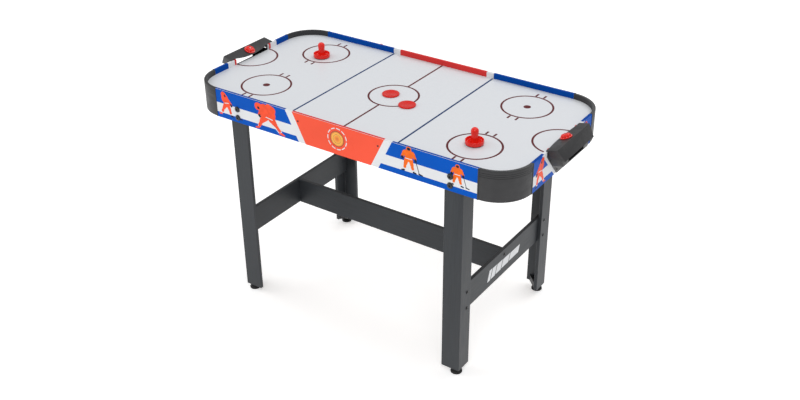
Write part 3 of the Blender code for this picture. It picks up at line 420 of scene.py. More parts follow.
def add_band(bm, centre, radius, width, place, low, high, start=0.0, end=math.tau, steps=64):
    """A flat ring, or an arc of one."""
    rows = []
    for point_radius, lift in (
        (radius - width / 2, low), (radius + width / 2, low),
        (radius + width / 2, high), (radius - width / 2, high),
    ):
        points = circle_points(*centre, point_radius, steps, start, end)
        rows.append([bm.verts.new(place(u, v, lift)) for u, v in points])
    count = len(rows[0])
    full = count == steps
    for i in range(count if full else count - 1):
        j = (i + 1) % count
        for a in range(4):
            b = (a + 1) % 4
            bm.faces.new((rows[a][i], rows[a][j], rows[b][j], rows[b][i]))
    if not full:
        for i in (0, -1):
            bm.faces.new([row[i] for row in rows])


def capsule(start, end, width_start, width_end):
    """The outline of a limb: two round ends and the straight sides between them."""
    points = circle_points(*start, width_start / 2, 12) + circle_points(*end, width_end / 2, 12)
    return [points[i] for i in convex_hull_2d([Vector(point) for point in points])]


def add_ring(bm, radius, height, steps):
    points = circle_points(0, 0, radius, steps)
    return [bm.verts.new((x, y, height)) for x, y in points]


def turned_mesh(profile, steps=48, closed=False):
    """A profile of (radius, height) points turned about Z."""
    bm = bmesh.new()
    rings = []
    for radius, height in profile:
        if radius < 1e-7:
            rings.append([bm.verts.new((0, 0, height))])
        else:
            rings.append(add_ring(bm, radius, height, steps))
    pairs = list(zip(rings, rings[1:]))
    if closed:
        pairs.append((rings[-1], rings[0]))
    for upper, lower in pairs:
        for i in range(steps):
            j = (i + 1) % steps
            corners = [ring[k % len(ring)] for ring, k in ((upper, i), (upper, j), (lower, j), (lower, i))]
            corners = list(dict.fromkeys(corners))
            if len(corners) > 2:
                bm.faces.new(corners)
    return bm


def measure_round(node):
    """The middle and radius of an upright round node, and the heights of its underside and top."""
    low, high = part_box(node)
    return (low.x + high.x) / 2, (low.y + high.y) / 2, (high.x - low.x) / 2, low.z, high.z


def smooth_by_angle():
    """A node group that shades smooth but keeps edges over 35 degrees sharp."""
    group = bpy.data.node_groups.new("smooth_by_angle", "GeometryNodeTree")
    group.interface.new_socket("Geometry", in_out="INPUT", socket_type="NodeSocketGeometry")
    group.interface.new_socket("Geometry", in_out="OUTPUT", socket_type="NodeSocketGeometry")
    start = group.nodes.new("NodeGroupInput")
    end = group.nodes.new("NodeGroupOutput")
    faces = group.nodes.new("GeometryNodeSetShadeSmooth")
    faces.domain = "FACE"
    edges = group.nodes.new("GeometryNodeSetShadeSmooth")
    edges.domain = "EDGE"
    edges.inputs["Shade Smooth"].default_value = False
    angle = group.nodes.new("GeometryNodeInputMeshEdgeAngle")
    over = group.nodes.new("FunctionNodeCompare")
    over.operation = "GREATER_THAN"
    over.inputs["B"].default_value = math.radians(35)
    group.links.new(start.outputs[0], faces.inputs["Geometry"])
    group.links.new(faces.outputs["Geometry"], edges.inputs["Geometry"])
    group.links.new(angle.outputs["Unsigned Angle"], over.inputs["A"])
    group.links.new(over.outputs["Result"], edges.inputs["Selection"])
    group.links.new(edges.outputs["Geometry"], end.inputs[0])
    return group


SMOOTHER = smooth_by_angle()


def dress(node, look, bevel=0.0, segments=2):
    """Gives a CAD node its finish, welds its shading and rounds its edges a little."""
    obj = NODES[node]
    obj.data.materials.clear()
    obj.data.materials.append(LOOKS[look])
    weld = obj.modifiers.new("weld", "WELD")
    weld.merge_threshold = 0.00001
    if bevel:
        rounding = obj.modifiers.new("rounding", "BEVEL")
        rounding.width = bevel
        rounding.segments = segments
        rounding.limit_method = "ANGLE"
        rounding.angle_limit = math.radians(50)
        rounding.use_clamp_overlap = True
    shading = obj.modifiers.new("shading", "NODES")
    shading.node_group = SMOOTHER


# ---- Playing surface
def rounded_outline(half_x, half_y, radius, steps):
    points = []
    for quarter, (sx, sy) in enumerate(((1, 1), (-1, 1), (-1, -1), (1, -1))):
        centre = (sx * (half_x - radius), sy * (half_y - radius))
        start = math.pi / 2 * quarter
        points += circle_points(*centre, radius, steps, start, start + math.pi / 2)
    return points


def inside_rounded(x, y, half_x, half_y, radius):
    over_x = max(0.0, abs(x) - (half_x - radius))
    over_y = max(0.0, abs(y) - (half_y - radius))
    return math.hypot(over_x, over_y) < radius


def make_surface():
    """The perforated board: a filled outline with a round hole at every pitch."""
    half_x, half_y = SURFACE_HIGH.x, SURFACE_HIGH.y
    hole_x, hole_y = half_x - HOLE_MARGIN, half_y - HOLE_MARGIN
    radius = INNER_Y - END_HALF
    curve = bpy.data.curves.new("playing_field", "CURVE")
    curve.dimensions = "2D"
    curve.fill_mode = "BOTH"
    curve.extrude = (SURFACE_HIGH.z - SURFACE_LOW.z) / 2
    outlines = [rounded_outline(half_x, half_y, radius, 24)]
    count_x = int(hole_x / HOLE_PITCH)
    count_y = int(hole_y / HOLE_PITCH)
    for i in range(-count_x, count_x + 1):
        for j in range(-count_y, count_y + 1):
            x, y = i * HOLE_PITCH, j * HOLE_PITCH
            if inside_rounded(x, y, hole_x, hole_y, radius - HOLE_MARGIN):
                outlines.append(circle_points(x, y, HOLE_RADIUS, 8))
    for outline in outlines:
        spline = curve.splines.new("POLY")
        spline.points.add(len(outline) - 1)
        for point, (x, y) in zip(spline.points, outline):
            point.co = (x, y, 0, 1)
        spline.use_cyclic_u = True
    holder = bpy.data.objects.new("holder", curve)
    add_to_scene(holder)
    graph = bpy.context.evaluated_depsgraph_get()
    filled = bpy.data.meshes.new_from_object(holder.evaluated_get(graph))
    bpy.data.objects.remove(holder)
    bm = bmesh.new()
    bm.from_mesh(filled)
    bmesh.ops.remove_doubles(bm, verts=bm.verts, dist=1e-6)
    middle = (SURFACE_HIGH.z + SURFACE_LOW.z) / 2
    place = (0, 0, middle)
    new_piece("playing_field", bm, "laminate", "root", ["playing_surface"], place)


def on_surface(u, v, w):
    return (u, v, PLAY_Z + w)


def rectangle(low_u, high_u, low_v, high_v):
    return [(low_u, low_v), (high_u, low_v), (high_u, high_v), (low_u, high_v)]


def make_marks():
    """The printed lines, as films a few hundredths of a millimetre thick."""
    navy = bmesh.new()
    maroon = bmesh.new()
    film = (on_surface, -SINK, FILM)
    half = LINE / 2
    reach = SURFACE_HIGH.y - MARK_MARGIN
    ring_edge = CIRCLE_RADIUS + half
    for sign in (-1, 1):
        zone_x = sign * ZONE_LINE_X
        add_plate(navy, rectangle(zone_x - half, zone_x + half, -reach, reach), *film)
        centre_line = rectangle(-half, half, *sorted((sign * ring_edge, sign * reach)))
        add_plate(maroon, centre_line, *film)
        start = sign * math.pi / 2
        crease = (sign * (SURFACE_HIGH.x - MARK_MARGIN), 0)
        add_band(maroon, crease, CREASE_RADIUS, LINE, *film, start, start + math.pi, 40)
        for sign_y in (-1, 1):
            centre = (sign * CIRCLE_X, sign_y * CIRCLE_Y)
            add_band(maroon, centre, CIRCLE_RADIUS, LINE, *film)
            add_plate(maroon, circle_points(*centre, SPOT_RADIUS, 32), *film)
            for tick_side in (-1, 1):
                for tick_end in (-1, 1):
                    tick_x = centre[0] + tick_side * TICK_X
                    inner = centre[1] + tick_end * ring_edge
                    outer = inner + tick_end * TICK_LENGTH
                    tick = rectangle(tick_x - half, tick_x + half, *sorted((inner, outer)))
                    add_plate(maroon, tick, *film)
    add_band(maroon, (0, 0), CIRCLE_RADIUS, LINE, *film)
    new_piece("zone_lines", navy, "line_navy")
    new_piece("rink_lines", maroon, "line_maroon")


# ---- Aprons
def side_faces(sign):
    """The face, inside and top of the front (-1) or back (1) apron, seen from outside with u to the right."""
    return (
        lambda u, v, w: (-sign * u, sign * (OUTER_Y + w), v),
        lambda u, v, w: (-sign * u, sign * (INNER_Y - w), v),
        lambda u, v, w: (-sign * u, sign * v, RAIL_TOP + w),
    )


def end_faces(sign):
    """The same of the left (-1) or right (1) apron."""
    return (
        lambda u, v, w: (sign * (OUTER_X + w), sign * u, v),
        lambda u, v, w: (sign * (INNER_X - w), sign * u, v),
        lambda u, v, w: (sign * v, sign * u, RAIL_TOP + w),
    )


def make_print(name, sheet, look):
    new_piece(name, sheet, look)


def make_sheets(name, **sheets):
    """One piece for each colour of sheet, named after it."""
    for colour, sheet in sheets.items():
        make_print(f"{name}_{colour}_print", sheet, colour if colour in LOOKS else f"film_{colour}")


def paint(sheet, outline, place):
    add_plate(sheet, outline, place, -SINK, STRIPE_LIFT)


def paint_both(sheet, outline, place):
    """A shape and its mirror image about the apron's middle."""
    paint(sheet, outline, place)
    paint(sheet, [(-u, v) for u, v in outline], place)


def paint_stripes(sheet, place, foot, slant, edge):
    """Both blue stripes, from their slanted ends out to the corner cap."""
    for low, high in STRIPE_EDGES:
        low_end = foot + slant * (low - APRON_BOTTOM)
        high_end = foot + slant * (high - APRON_BOTTOM)
        paint_both(sheet, [(low_end, low), (edge, low), (edge, high), (high_end, high)], place)


def paint_side(name, faces):
    blue, red, rail_blue, rail_red = (bmesh.new() for _ in range(4))
    face, inside, top = faces
    lean = SIDE_SLANT * (RAIL_TOP - APRON_BOTTOM)
    foot, head = SIDE_RED_FOOT, SIDE_RED_FOOT + lean
    paint_stripes(blue, face, SIDE_BLUE_FOOT, SIDE_SLANT, SIDE_HALF)
    paint(red, [(-foot, APRON_BOTTOM), (foot, APRON_BOTTOM), (head, RAIL_TOP), (-head, RAIL_TOP)], face)
    # The top film stops short of the rail's outer edge, so a pale line of white film shows there as a painted
    # highlight.
    for place, low, high in ((top, INNER_Y, OUTER_Y - RAIL_HIGHLIGHT_LINE), (inside, PLAY_Z, RAIL_TOP)):
        # The rails' tops and insides take the darker rail films: painted shade.
        paint_both(rail_blue, rectangle(SIDE_BLUE_FOOT + lean, SIDE_HALF, low, high), place)
        paint(rail_red, rectangle(-head, head, low, high), place)
    make_sheets(name, blue=blue, red=red, rail_blue=rail_blue, rail_red=rail_red)


def paint_end(name, faces):
    blue, rail_blue, rail_red = (bmesh.new() for _ in range(3))
    face, inside, top = faces
    paint_stripes(blue, face, END_BLUE_FOOT, END_SLANT, END_HALF)
    # The rails' tops and insides take the darker rail films: painted shade.
    for place, low, high in ((top, INNER_X, OUTER_X), (inside, PLAY_Z, RAIL_TOP)):
        paint_both(rail_blue, rectangle(RAIL_BLUE_END, END_HALF, low, high), place)
        paint_both(rail_red, rectangle(RAIL_RED_START, RAIL_RED_END, low, high), place)
    make_sheets(name, blue=blue, rail_blue=rail_blue, rail_red=rail_red)


# Players, in shares of their height from the ice: (part, from, to, width at each end)
STRIDING = [
    ("white", (0.22, 0.52), (0.62, 0.07), 0.04, 0.04),
    ("dark", (0.61, 0.07), (0.76, 0.03), 0.07, 0.05),
    ("white", (-0.17, 0.30), (-0.27, 0.10), 0.12, 0.10),
    ("body", (-0.205, 0.22), (-0.225, 0.18), 0.125, 0.12),
    ("body", (-0.28, 0.06), (-0.38, 0.04), 0.075, 0.055),
    ("body", (-0.04, 0.48), (-0.16, 0.31), 0.21, 0.14),
    ("white", (0.17, 0.30), (0.20, 0.11), 0.12, 0.10),
    ("body", (0.18, 0.22), (0.187, 0.18), 0.125, 0.12),
    ("dark", (0.20, 0.06), (0.31, 0.04), 0.075, 0.055),
    ("body", (0.09, 0.48), (0.16, 0.31), 0.20, 0.14),
    ("body", (-0.06, 0.74), (0.05, 0.54), 0.36, 0.28),
    ("white", (-0.08, 0.545), (0.16, 0.575), 0.03, 0.03),
    ("body", (0.07, 0.72), (0.24, 0.54), 0.15, 0.11),
    ("dark", (0.23, 0.53), (0.26, 0.49), 0.095, 0.095),
    ("body", (-0.13, 0.90), (-0.10, 0.88), 0.23, 0.23),
    ("dark", (-0.06, 0.86), (-0.04, 0.84), 0.08, 0.08),
]
CROUCHING = [
    ("white", (0.02, 0.46), (0.50, 0.06), 0.03, 0.03),
    ("body", (0.49, 0.06), (0.62, 0.03), 0.04, 0.03),
    ("white", (-0.23, 0.30), (-0.34, 0.12), 0.13, 0.11),
    ("body", (-0.26, 0.245), (-0.275, 0.215), 0.135, 0.13),
    ("body", (-0.31, 0.17), (-0.32, 0.145), 0.125, 0.12),
    ("body", (-0.36, 0.06), (-0.47, 0.04), 0.08, 0.055),
    ("body", (-0.07, 0.50), (-0.23, 0.31), 0.30, 0.16),
    ("white", (0.38, 0.28), (0.55, 0.12), 0.125, 0.105),
    ("body", (0.42, 0.245), (0.44, 0.225), 0.13, 0.13),
    ("body", (0.49, 0.175), (0.51, 0.155), 0.12, 0.12),
    ("body", (0.58, 0.07), (0.70, 0.03), 0.085, 0.055),
    ("body", (0.19, 0.50), (0.37, 0.30), 0.30, 0.15),
    ("body", (-0.08, 0.74), (0.16, 0.62), 0.42, 0.44),
    ("body", (0.10, 0.88), (0.26, 0.80), 0.22, 0.26),
    ("body", (-0.20, 0.66), (-0.30, 0.52), 0.17, 0.12),
    ("dark", (-0.30, 0.50), (-0.28, 0.47), 0.09, 0.09),
    ("white", (-0.02, 0.50), (0.24, 0.46), 0.03, 0.03),
    ("body", (-0.34, 0.80), (-0.30, 0.80), 0.27, 0.27),
    ("dark", (-0.33, 0.76), (-0.31, 0.75), 0.08, 0.08),
]
STANDING = [
    ("dark", (0.30, 0.50), (0.44, 0.07), 0.03, 0.03),
    ("dark", (0.43, 0.06), (0.58, 0.03), 0.06, 0.045),
    ("white", (-0.14, 0.31), (-0.19, 0.11), 0.12, 0.10),
    ("body", (-0.155, 0.23), (-0.165, 0.19), 0.125, 0.12),
    ("dark", (-0.19, 0.06), (-0.29, 0.04), 0.075, 0.055),
    ("body", (-0.09, 0.50), (-0.14, 0.31), 0.19, 0.14),
    ("white", (0.14, 0.31), (0.20, 0.11), 0.12, 0.10),
    ("body", (0.155, 0.23), (0.17, 0.19), 0.125, 0.12),
    ("dark", (0.21, 0.06), (0.31, 0.04), 0.075, 0.055),
    ("body", (0.09, 0.50), (0.14, 0.31), 0.19, 0.14),
    ("body", (0.00, 0.70), (0.00, 0.56), 0.38, 0.30),
    ("body", (-0.16, 0.78), (0.16, 0.78), 0.16, 0.16),
    ("body", (-0.19, 0.76), (-0.27, 0.58), 0.14, 0.11),
    ("body", (0.19, 0.76), (0.28, 0.58), 0.14, 0.11),
    ("dark", (-0.27, 0.56), (-0.25, 0.53), 0.10, 0.10),
    ("dark", (0.28, 0.56), (0.29, 0.52), 0.10, 0.10),
    ("white", (-0.13, 0.54), (0.13, 0.54), 0.03, 0.03),
    ("body", (0.00, 0.90), (0.00, 0.91), 0.23, 0.22),
    ("dark", (-0.02, 0.92), (0.02, 0.92), 0.11, 0.11),
]
FIGURE_LOOKS = {"dark": "figure_dark", "white": "film_white"}


def draw_player(sheets, parts, centre, foot, height, facing, body, place):
    """Adds a player's limbs to the sheet of each colour. Every limb lies a step above the last."""
    for layer, (part, start, end, width_start, width_end) in enumerate(parts):
        points = [(centre + facing * u * height, foot + v * height) for u, v in (start, end)]
        outline = capsule(*points, width_start * height, width_end * height)
        low = STRIPE_LIFT + layer * LAYER_STEP
        sheet = sheets.setdefault(FIGURE_LOOKS.get(part, body), bmesh.new())
        add_plate(sheet, outline, place, low, low + LAYER)


def draw_players(name, place, players):
    sheets = {}
    for parts, centre, foot, height, facing, body in players:
        draw_player(sheets, parts, centre, foot, height, facing, body, place)
    for look, sheet in sheets.items():
        make_print(f"{name}_{look}_players", sheet, look)


SIDE_PLAYERS = [
    (STRIDING, -0.452, 0.686, 0.084, 1, "figure_red"),
    (CROUCHING, -0.281, 0.677, 0.100, 1, "figure_red"),
    (STANDING, 0.262, 0.692, 0.084, 1, "figure_orange"),
    (STANDING, 0.428, 0.697, 0.070, 1, "figure_orange"),
]
BACK_PLAYERS = [player for player in SIDE_PLAYERS if player[0] is not CROUCHING]  # clear of the switch
END_PLAYERS = [
    (STRIDING[2:], -0.146, 0.680, 0.088, -1, "figure_red"),
    (STANDING, 0.150, 0.684, 0.082, -1, "figure_red"),
]


def make_medal(name, sign, face):
    """The badge in the middle of a red panel: an orange disc in a ring of dashes."""
    disc_top = STRIPE_LIFT + FILM
    dashes = bmesh.new()
    for i in range(DASHES):
        start, end = (math.tau * (i + share) / DASHES for share in DASH_SPAN)
        add_band(dashes, (0, MEDAL_Z), DASH_RADIUS, DASH_WIDTH, face, STRIPE_LIFT, disc_top, start, end, 6)
    make_print(f"{name}_badge_dashes", dashes, "film_white")
    disc = bmesh.new()
    outline = circle_points(0, 0, MEDAL_RADIUS, 48)
    add_plate(disc, outline, lambda u, v, w: (-sign * u, sign * w, v), STRIPE_LIFT, disc_top)
    place = (0, sign * OUTER_Y, MEDAL_Z)
    new_piece(f"{name}_badge_disc", disc, "medal", location=place)
    rings = bmesh.new()
    for radius in MEDAL_RINGS:
        add_band(rings, (0, MEDAL_Z), radius, MEDAL_RING_WIDTH, face, disc_top, disc_top + LAYER)
    make_print(f"{name}_badge_rings", rings, "figure_dark")


def make_aprons():
    for name, sign, players in (("front", -1, SIDE_PLAYERS), ("back", 1, BACK_PLAYERS)):
        faces = side_faces(sign)
        dress(f"{name}_apron", "film_white")
        paint_side(name, faces)
        draw_players(name, faces[0], players)
        make_medal(name, sign, faces[0])
    for name, sign in ENDS.items():
        faces = end_faces(sign)
        dress(f"{name}_apron", "film_white")
        paint_end(name, faces)
        draw_players(name, faces[0], END_PLAYERS)


# ---- Corner caps
def cap_section(radius):
    """Half of the cap's section: down its outer side with the moulded grooves near the top."""
    points = [
        (radius - BOARD, RAIL_TOP),
        (radius - CAP_EDGE, RAIL_TOP),
        (radius - 0.0005, RAIL_TOP - 0.0005),
        (radius, RAIL_TOP - CAP_EDGE),
    ]
    for i in range(GROOVES):
        top = RAIL_TOP - GROOVE_TOP - i * GROOVE_PITCH
        points += [
            (radius, top),
            (radius - GROOVE_DEPTH, top - GROOVE_SLOPE),
            (radius - GROOVE_DEPTH, top - GROOVE_WIDTH + GROOVE_SLOPE),
            (radius, top - GROOVE_WIDTH),
        ]
    points += [(radius, APRON_BOTTOM + 0.001), (radius - 0.001, APRON_BOTTOM)]
    points.append((radius - BOARD, APRON_BOTTOM))
    return points


def add_block(bm, signs, *spans):
    """A block with rounded edges. spans are its limits along X, Y and Z, mirrored to the corner of signs."""
    limits = [sorted(sign * value for value in span) for sign, span in zip((*signs, 1), spans)]
    size = [high - low for low, high in limits]
    centre = [(low + high) / 2 for low, high in limits]
    matrix = Matrix.Translation(centre) @ Matrix.Diagonal((*size, 1.0))
    made = bmesh.ops.create_cube(bm, size=1.0, matrix=matrix)
    edges = dict.fromkeys(edge for vert in made["verts"] for edge in vert.link_edges)
    bmesh.ops.bevel(bm, geom=list(edges), offset=MOULDED_BEVEL, segments=2, affect="EDGES", profile=0.6)


def add_joint_blocks(bm, signs, ends, faces, along, across, heights):
    """A block at each of a cap's two joints, placed from the aprons' ends and from their faces."""
    (end_x, end_y), (face_x, face_y) = ends, faces
    add_block(bm, signs, [end_x + v for v in along], [face_y + v for v in across], heights)
    add_block(bm, signs, [face_x + v for v in across], [end_y + v for v in along], heights)


def make_caps():
    """Quarter-round caps, with lips over the joints outside and tongues behind the aprons."""
    ends = (SIDE_HALF + CAP_GAP, END_HALF + CAP_GAP)
    radius = OUTER_Y - ends[1]
    section = cap_section(radius)
    count = len(section)
    steps = 40
    lip_heights = (APRON_BOTTOM - LIP_RISE, RAIL_TOP + LIP_RISE)
    for name, signs in CORNERS.items():
        bm = bmesh.new()
        rows = []
        for i in range(steps + 1):
            angle = math.pi / 2 * i / steps
            across, along = math.cos(angle), math.sin(angle)
            rows.append([
                bm.verts.new((signs[0] * (ends[0] + r * across), signs[1] * (ends[1] + r * along), z))
                for r, z in section
            ])
        for row, following in zip(rows, rows[1:]):
            for i in range(count):
                j = (i + 1) % count
                bm.faces.new((row[i], row[j], following[j], following[i]))
        bm.faces.new(rows[0])
        bm.faces.new(rows[-1])
        add_joint_blocks(bm, signs, ends, (OUTER_X, OUTER_Y), LIP_ALONG, LIP_ACROSS, lip_heights)
        add_joint_blocks(bm, signs, ends, (INNER_X, INNER_Y), TONGUE_ALONG, TONGUE_ACROSS, TONGUE_HEIGHTS)
        new_piece(
            f"cap_{name}", bm, "moulding", replaces=[f"corner_cap_{name}"], smooth=35
        )


# ---- Legs and stretchers
def make_frame_boards():
    for name in CORNERS:
        dress(f"leg_{name}", "leg_film")
        dress(f"foot_block_{name}", "moulding", 0.0006)
    for name in ENDS:
        dress(f"end_stretcher_{name}", "end_stretcher_film")
    dress("long_stretcher", "stretcher_film")
    dress("bottom_panel", "hardboard")
    for name in ("front", "back", "left", "right", "mid_left", "mid_right"):
        dress(f"spacer_{name}", "softwood")


def make_feet():
    """Levelling feet: a ribbed rubber pad, a hexagonal neck and a threaded stem."""
    for name in CORNERS:
        body = f"foot_{name}"
        x, y, radius, _, _ = measure_round(body)
        pad = [(0, PAD_TOP), (0.010, PAD_TOP), (0.0115, 0.0085), (radius - 0.0018, 0.0062)]
        pad.append((radius - 0.0006, 0.0054))
        for rib in range(PAD_RIBS):
            top = PAD_RIM - rib * PAD_RIB_PITCH
            pad += [(radius, top), (radius, top - 0.0008), (radius - PAD_RIB_DEPTH, top - 0.0011)]
        pad += [(radius - 0.0012, 0.0), (0, 0.0)]
        neck = [(0, NECK_TOP), (0.0068, NECK_TOP), (NECK_RADIUS, 0.019), (NECK_RADIUS, 0.0094), (0, 0.0094)]
        stem = [(0, STEM_TOP)]
        for i in range(THREAD_TURNS):
            top = STEM_TOP - 0.0002 - i * THREAD_PITCH
            stem += [(STEM_ROOT, top), (STEM_RADIUS, top - 0.0008)]
        stem += [(STEM_ROOT, NECK_TOP - 0.0001), (0, NECK_TOP - 0.0001)]
        for part, profile, steps, look, replaced, smooth in (
            ("pad", pad, 48, "rubber", (), 35),
            ("neck", neck, 6, "zinc", (body,), 25),
            ("stem", stem, 24, "zinc", (), 35),
        ):
            new_piece(
                f"levelling_{part}_{name}", turned_mesh(profile, steps), look, body,
                replaced, (x, y, 0), smooth,
            )


def cap_bolt_mesh(radius, height, shank, length, socket, steps=40):
    """A domed head with a hexagonal socket and a shank, along +Z from the board's face."""
    profile = [
        (0, height * 0.35),
        (socket, height * 0.35),
        (socket, height * 0.97),
        (radius * 0.55, height),
        (radius * 0.80, height * 0.88),
        (radius * 0.94, height * 0.62),
        (radius, height * 0.30),
        (radius, 0),
        (shank, 0),
        (shank, -length),
        (0, -length),
    ]
    return turned_mesh(profile, steps)


def place_head(name, bm, location, axis, sign, replaces=()):
    """Turns a bolt or screw that points up so that it points out along X or Y, and makes it a piece."""
    if axis == "X":
        turn = Matrix.Rotation(sign * math.pi / 2, 3, "Y")
    else:
        turn = Matrix.Rotation(-sign * math.pi / 2, 3, "X")
    bmesh.ops.rotate(bm, verts=bm.verts, matrix=turn, cent=(0, 0, 0))
    new_piece(name, bm, "black_cap", replaces=replaces, location=location, smooth=30)


def make_leg_bolts():
    for corner, (_, sign_y) in CORNERS.items():
        for level in ("upper", "lower"):
            node = f"leg_bolt_{corner}_{level}"
            low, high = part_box(node)
            centre = (low + high) / 2
            bolt = cap_bolt_mesh((high.x - low.x) / 2, *BOLT)
            face = (centre.x, sign_y * (OUTER_Y + BOLT_SEAT), centre.z)
            place_head(f"capped_{node}", bolt, face, "Y", sign_y, [node])


def make_stretcher_bolts():
    """Two bolts through each leg into the end stretcher, and one from it into the long one."""
    leg_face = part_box("leg_front_right")[1].x
    board_low, board_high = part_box("end_stretcher_right")
    leg_rows = (("upper", board_high.z - UPPER_BOLT_DROP), ("lower", board_low.z + LOWER_BOLT_RISE))
    middle_row = (("upper", board_high.z - MIDDLE_BOLT_DROP),)
    for end, sign in ENDS.items():
        for place, y, face_x, rows in (
            ("front", -SMALL_BOLT_Y, leg_face, leg_rows), ("back", SMALL_BOLT_Y, leg_face, leg_rows),
            ("middle", 0.0, board_high.x, middle_row),
        ):
            for level, z in rows:
                bolt = cap_bolt_mesh(*SMALL_BOLT, steps=32)
                place_head(f"stretcher_bolt_{end}_{place}_{level}", bolt, (sign * face_x, y, z), "X", sign)


def make_speed_bars():
    """The slanted bars printed on each end stretcher's outer face."""
    outer_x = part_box("end_stretcher_right")[1].x
    for name, sign in ENDS.items():
        bm = bmesh.new()

        def face(u, v, w):
            return (sign * (outer_x + w), sign * u, v)

        for i, (left, right) in enumerate(BARS):
            low, high = BAR_LOW + BAR_TAPER * i, BAR_HIGH - BAR_TAPER * i
            low_lean, high_lean = (BAR_SLANT * (z - BAR_MIDDLE) for z in (low, high))
            outline = [
                (left + low_lean, low), (right + low_lean, low),
                (right + high_lean, high), (left + high_lean, high),
            ]
            add_plate(bm, outline, face, -SINK, FILM)
        new_piece(f"speed_bars_{name}", bm, "film_white")


# ---- Goals and dials
def screw_mesh(radius, height):
    """A pan head with a cross recess."""
    bm = bmesh.new()
    arm, depth = radius * 0.16, height * 0.45
    steps = 24
    profile = [(radius * 0.75, height), (radius * 0.95, height * 0.6), (radius, 0)]
    outer = [add_ring(bm, ring_radius, ring_height, steps) for ring_radius, ring_height in profile]
    for upper, lower in zip(outer, outer[1:]):
        for i in range(steps):
            j = (i + 1) % steps
            bm.faces.new((upper[i], lower[i], lower[j], upper[j]))
    bm.faces.new(outer[-1][::-1])
    reach = radius * 0.5
    cross = [
        (arm, arm), (arm, reach), (-arm, reach), (-arm, arm), (-reach, arm), (-reach, -arm),
        (-arm, -arm), (-arm, -reach), (arm, -reach), (arm, -arm), (reach, -arm), (reach, arm),
    ]
    rim = [bm.verts.new((x, y, height)) for x, y in cross]
    floor = [bm.verts.new((x * 0.8, y * 0.8, height - depth)) for x, y in cross]
    for i in range(len(cross)):
        j = (i + 1) % len(cross)
        bm.faces.new((rim[i], rim[j], floor[j], floor[i]))
    bm.faces.new(floor)
    rim_edges = [bm.edges.get((rim[i], rim[(i + 1) % len(rim)])) for i in range(len(rim))]
    top_edges = [bm.edges.get((outer[0][i], outer[0][(i + 1) % steps])) for i in range(steps)]
    bmesh.ops.triangle_fill(bm, edges=rim_edges + top_edges, use_beauty=True)
    return bm


def make_panel_screws():
    for name, sign in (("front", -1), ("back", 1)):
        for side, x in (("left", -PANEL_SCREW_X), ("right", PANEL_SCREW_X)):
            place = (x, sign * (OUTER_Y + STRIPE_LIFT), PANEL_SCREW_Z)
            place_head(f"{name}_panel_screw_{side}", screw_mesh(*PANEL_SCREW), place, "Y", sign)


def make_goals():
    flange_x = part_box("goal_box_right")[0].x + GOAL_FLANGE
    for name, sign in ENDS.items():
        dress(f"goal_box_{name}", "moulding", 0.0006)
        dress(f"goal_hood_{name}", "moulding", 0.0012, 3)
        for spot, y in (("low_a", -GOAL_SCREW_Y), ("low_b", GOAL_SCREW_Y)):
            place = (sign * flange_x, y, GOAL_SCREW_Z)
            place_head(f"goal_screw_{name}_{spot}", screw_mesh(*GOAL_SCREW), place, "X", sign)


def make_dials():
    """Domed score dials with scalloped grips and a numbered skirt, square to the sloping hoods."""
    skirt = [
        (0.0024, 0.0),
        (0.0024, DIAL_SKIRT - 0.0004),
        (0.013, DIAL_SKIRT),
        (DIAL_RADIUS - 0.0012, DIAL_SKIRT),
        (DIAL_RADIUS - 0.0004, DIAL_SKIRT - 0.0004),
        (DIAL_RADIUS, DIAL_SKIRT - 0.0012),
        (DIAL_RADIUS, 0.0),
    ]
    out = OUTER_X + DIAL_X - DIAL_SEAT * math.sin(DIAL_TILT)
    for name, sign in ENDS.items():
        body = f"score_dial_{name}"
        centre = (sign * out, 0, DIAL_Z + DIAL_SEAT * math.cos(DIAL_TILT))
        tilt = -sign * DIAL_TILT
        for part, mesh, replaced in (
            ("skirt", turned_mesh(skirt, 72, closed=True), ()),
            ("grip", dome_mesh(GRIP_RADIUS, DIAL_HEIGHT, DIAL_SKIRT - 0.0001), (body,)),
        ):
            new_piece(
                f"dial_{part}_{name}", mesh, "gloss_red", body, replaced, centre, 40, tilt
            )
        add_numerals(name, centre, tilt, body)
        dress(f"dial_screw_{name}", "zinc")


def dome_mesh(radius, height, foot):
    """A domed grip whose side waves in scallops that fade out towards the top."""
    bm = bmesh.new()
    steps = 120
    levels = [
        (1.00, foot, 1.0),
        (1.00, foot + 0.0012, 1.0),
        (0.99, 0.60 * height, 1.0),
        (0.93, 0.76 * height, 0.8),
        (0.82, 0.87 * height, 0.5),
        (0.66, 0.945 * height, 0.2),
        (0.45, 0.985 * height, 0.0),
        (0.27, height, 0.0),
        (0.26, 0.80 * height, 0.0),
        (0.26, foot, 0.0),
    ]
    rings = []
    for share, z, wave in levels:
        ring = []
        for i in range(steps):
            angle = math.tau * i / steps
            dip = max(0.0, math.cos(GRIP_SCALLOPS * angle)) ** 2
            r = radius * share - GRIP_SCALLOP_DEPTH * wave * dip
            ring.append(bm.verts.new((r * math.cos(angle), r * math.sin(angle), z)))
        rings.append(ring)
    for lower, upper in zip(rings, rings[1:] + rings[:1]):
        for i in range(steps):
            j = (i + 1) % steps
            bm.faces.new((lower[i], lower[j], upper[j], upper[i]))
    return bm


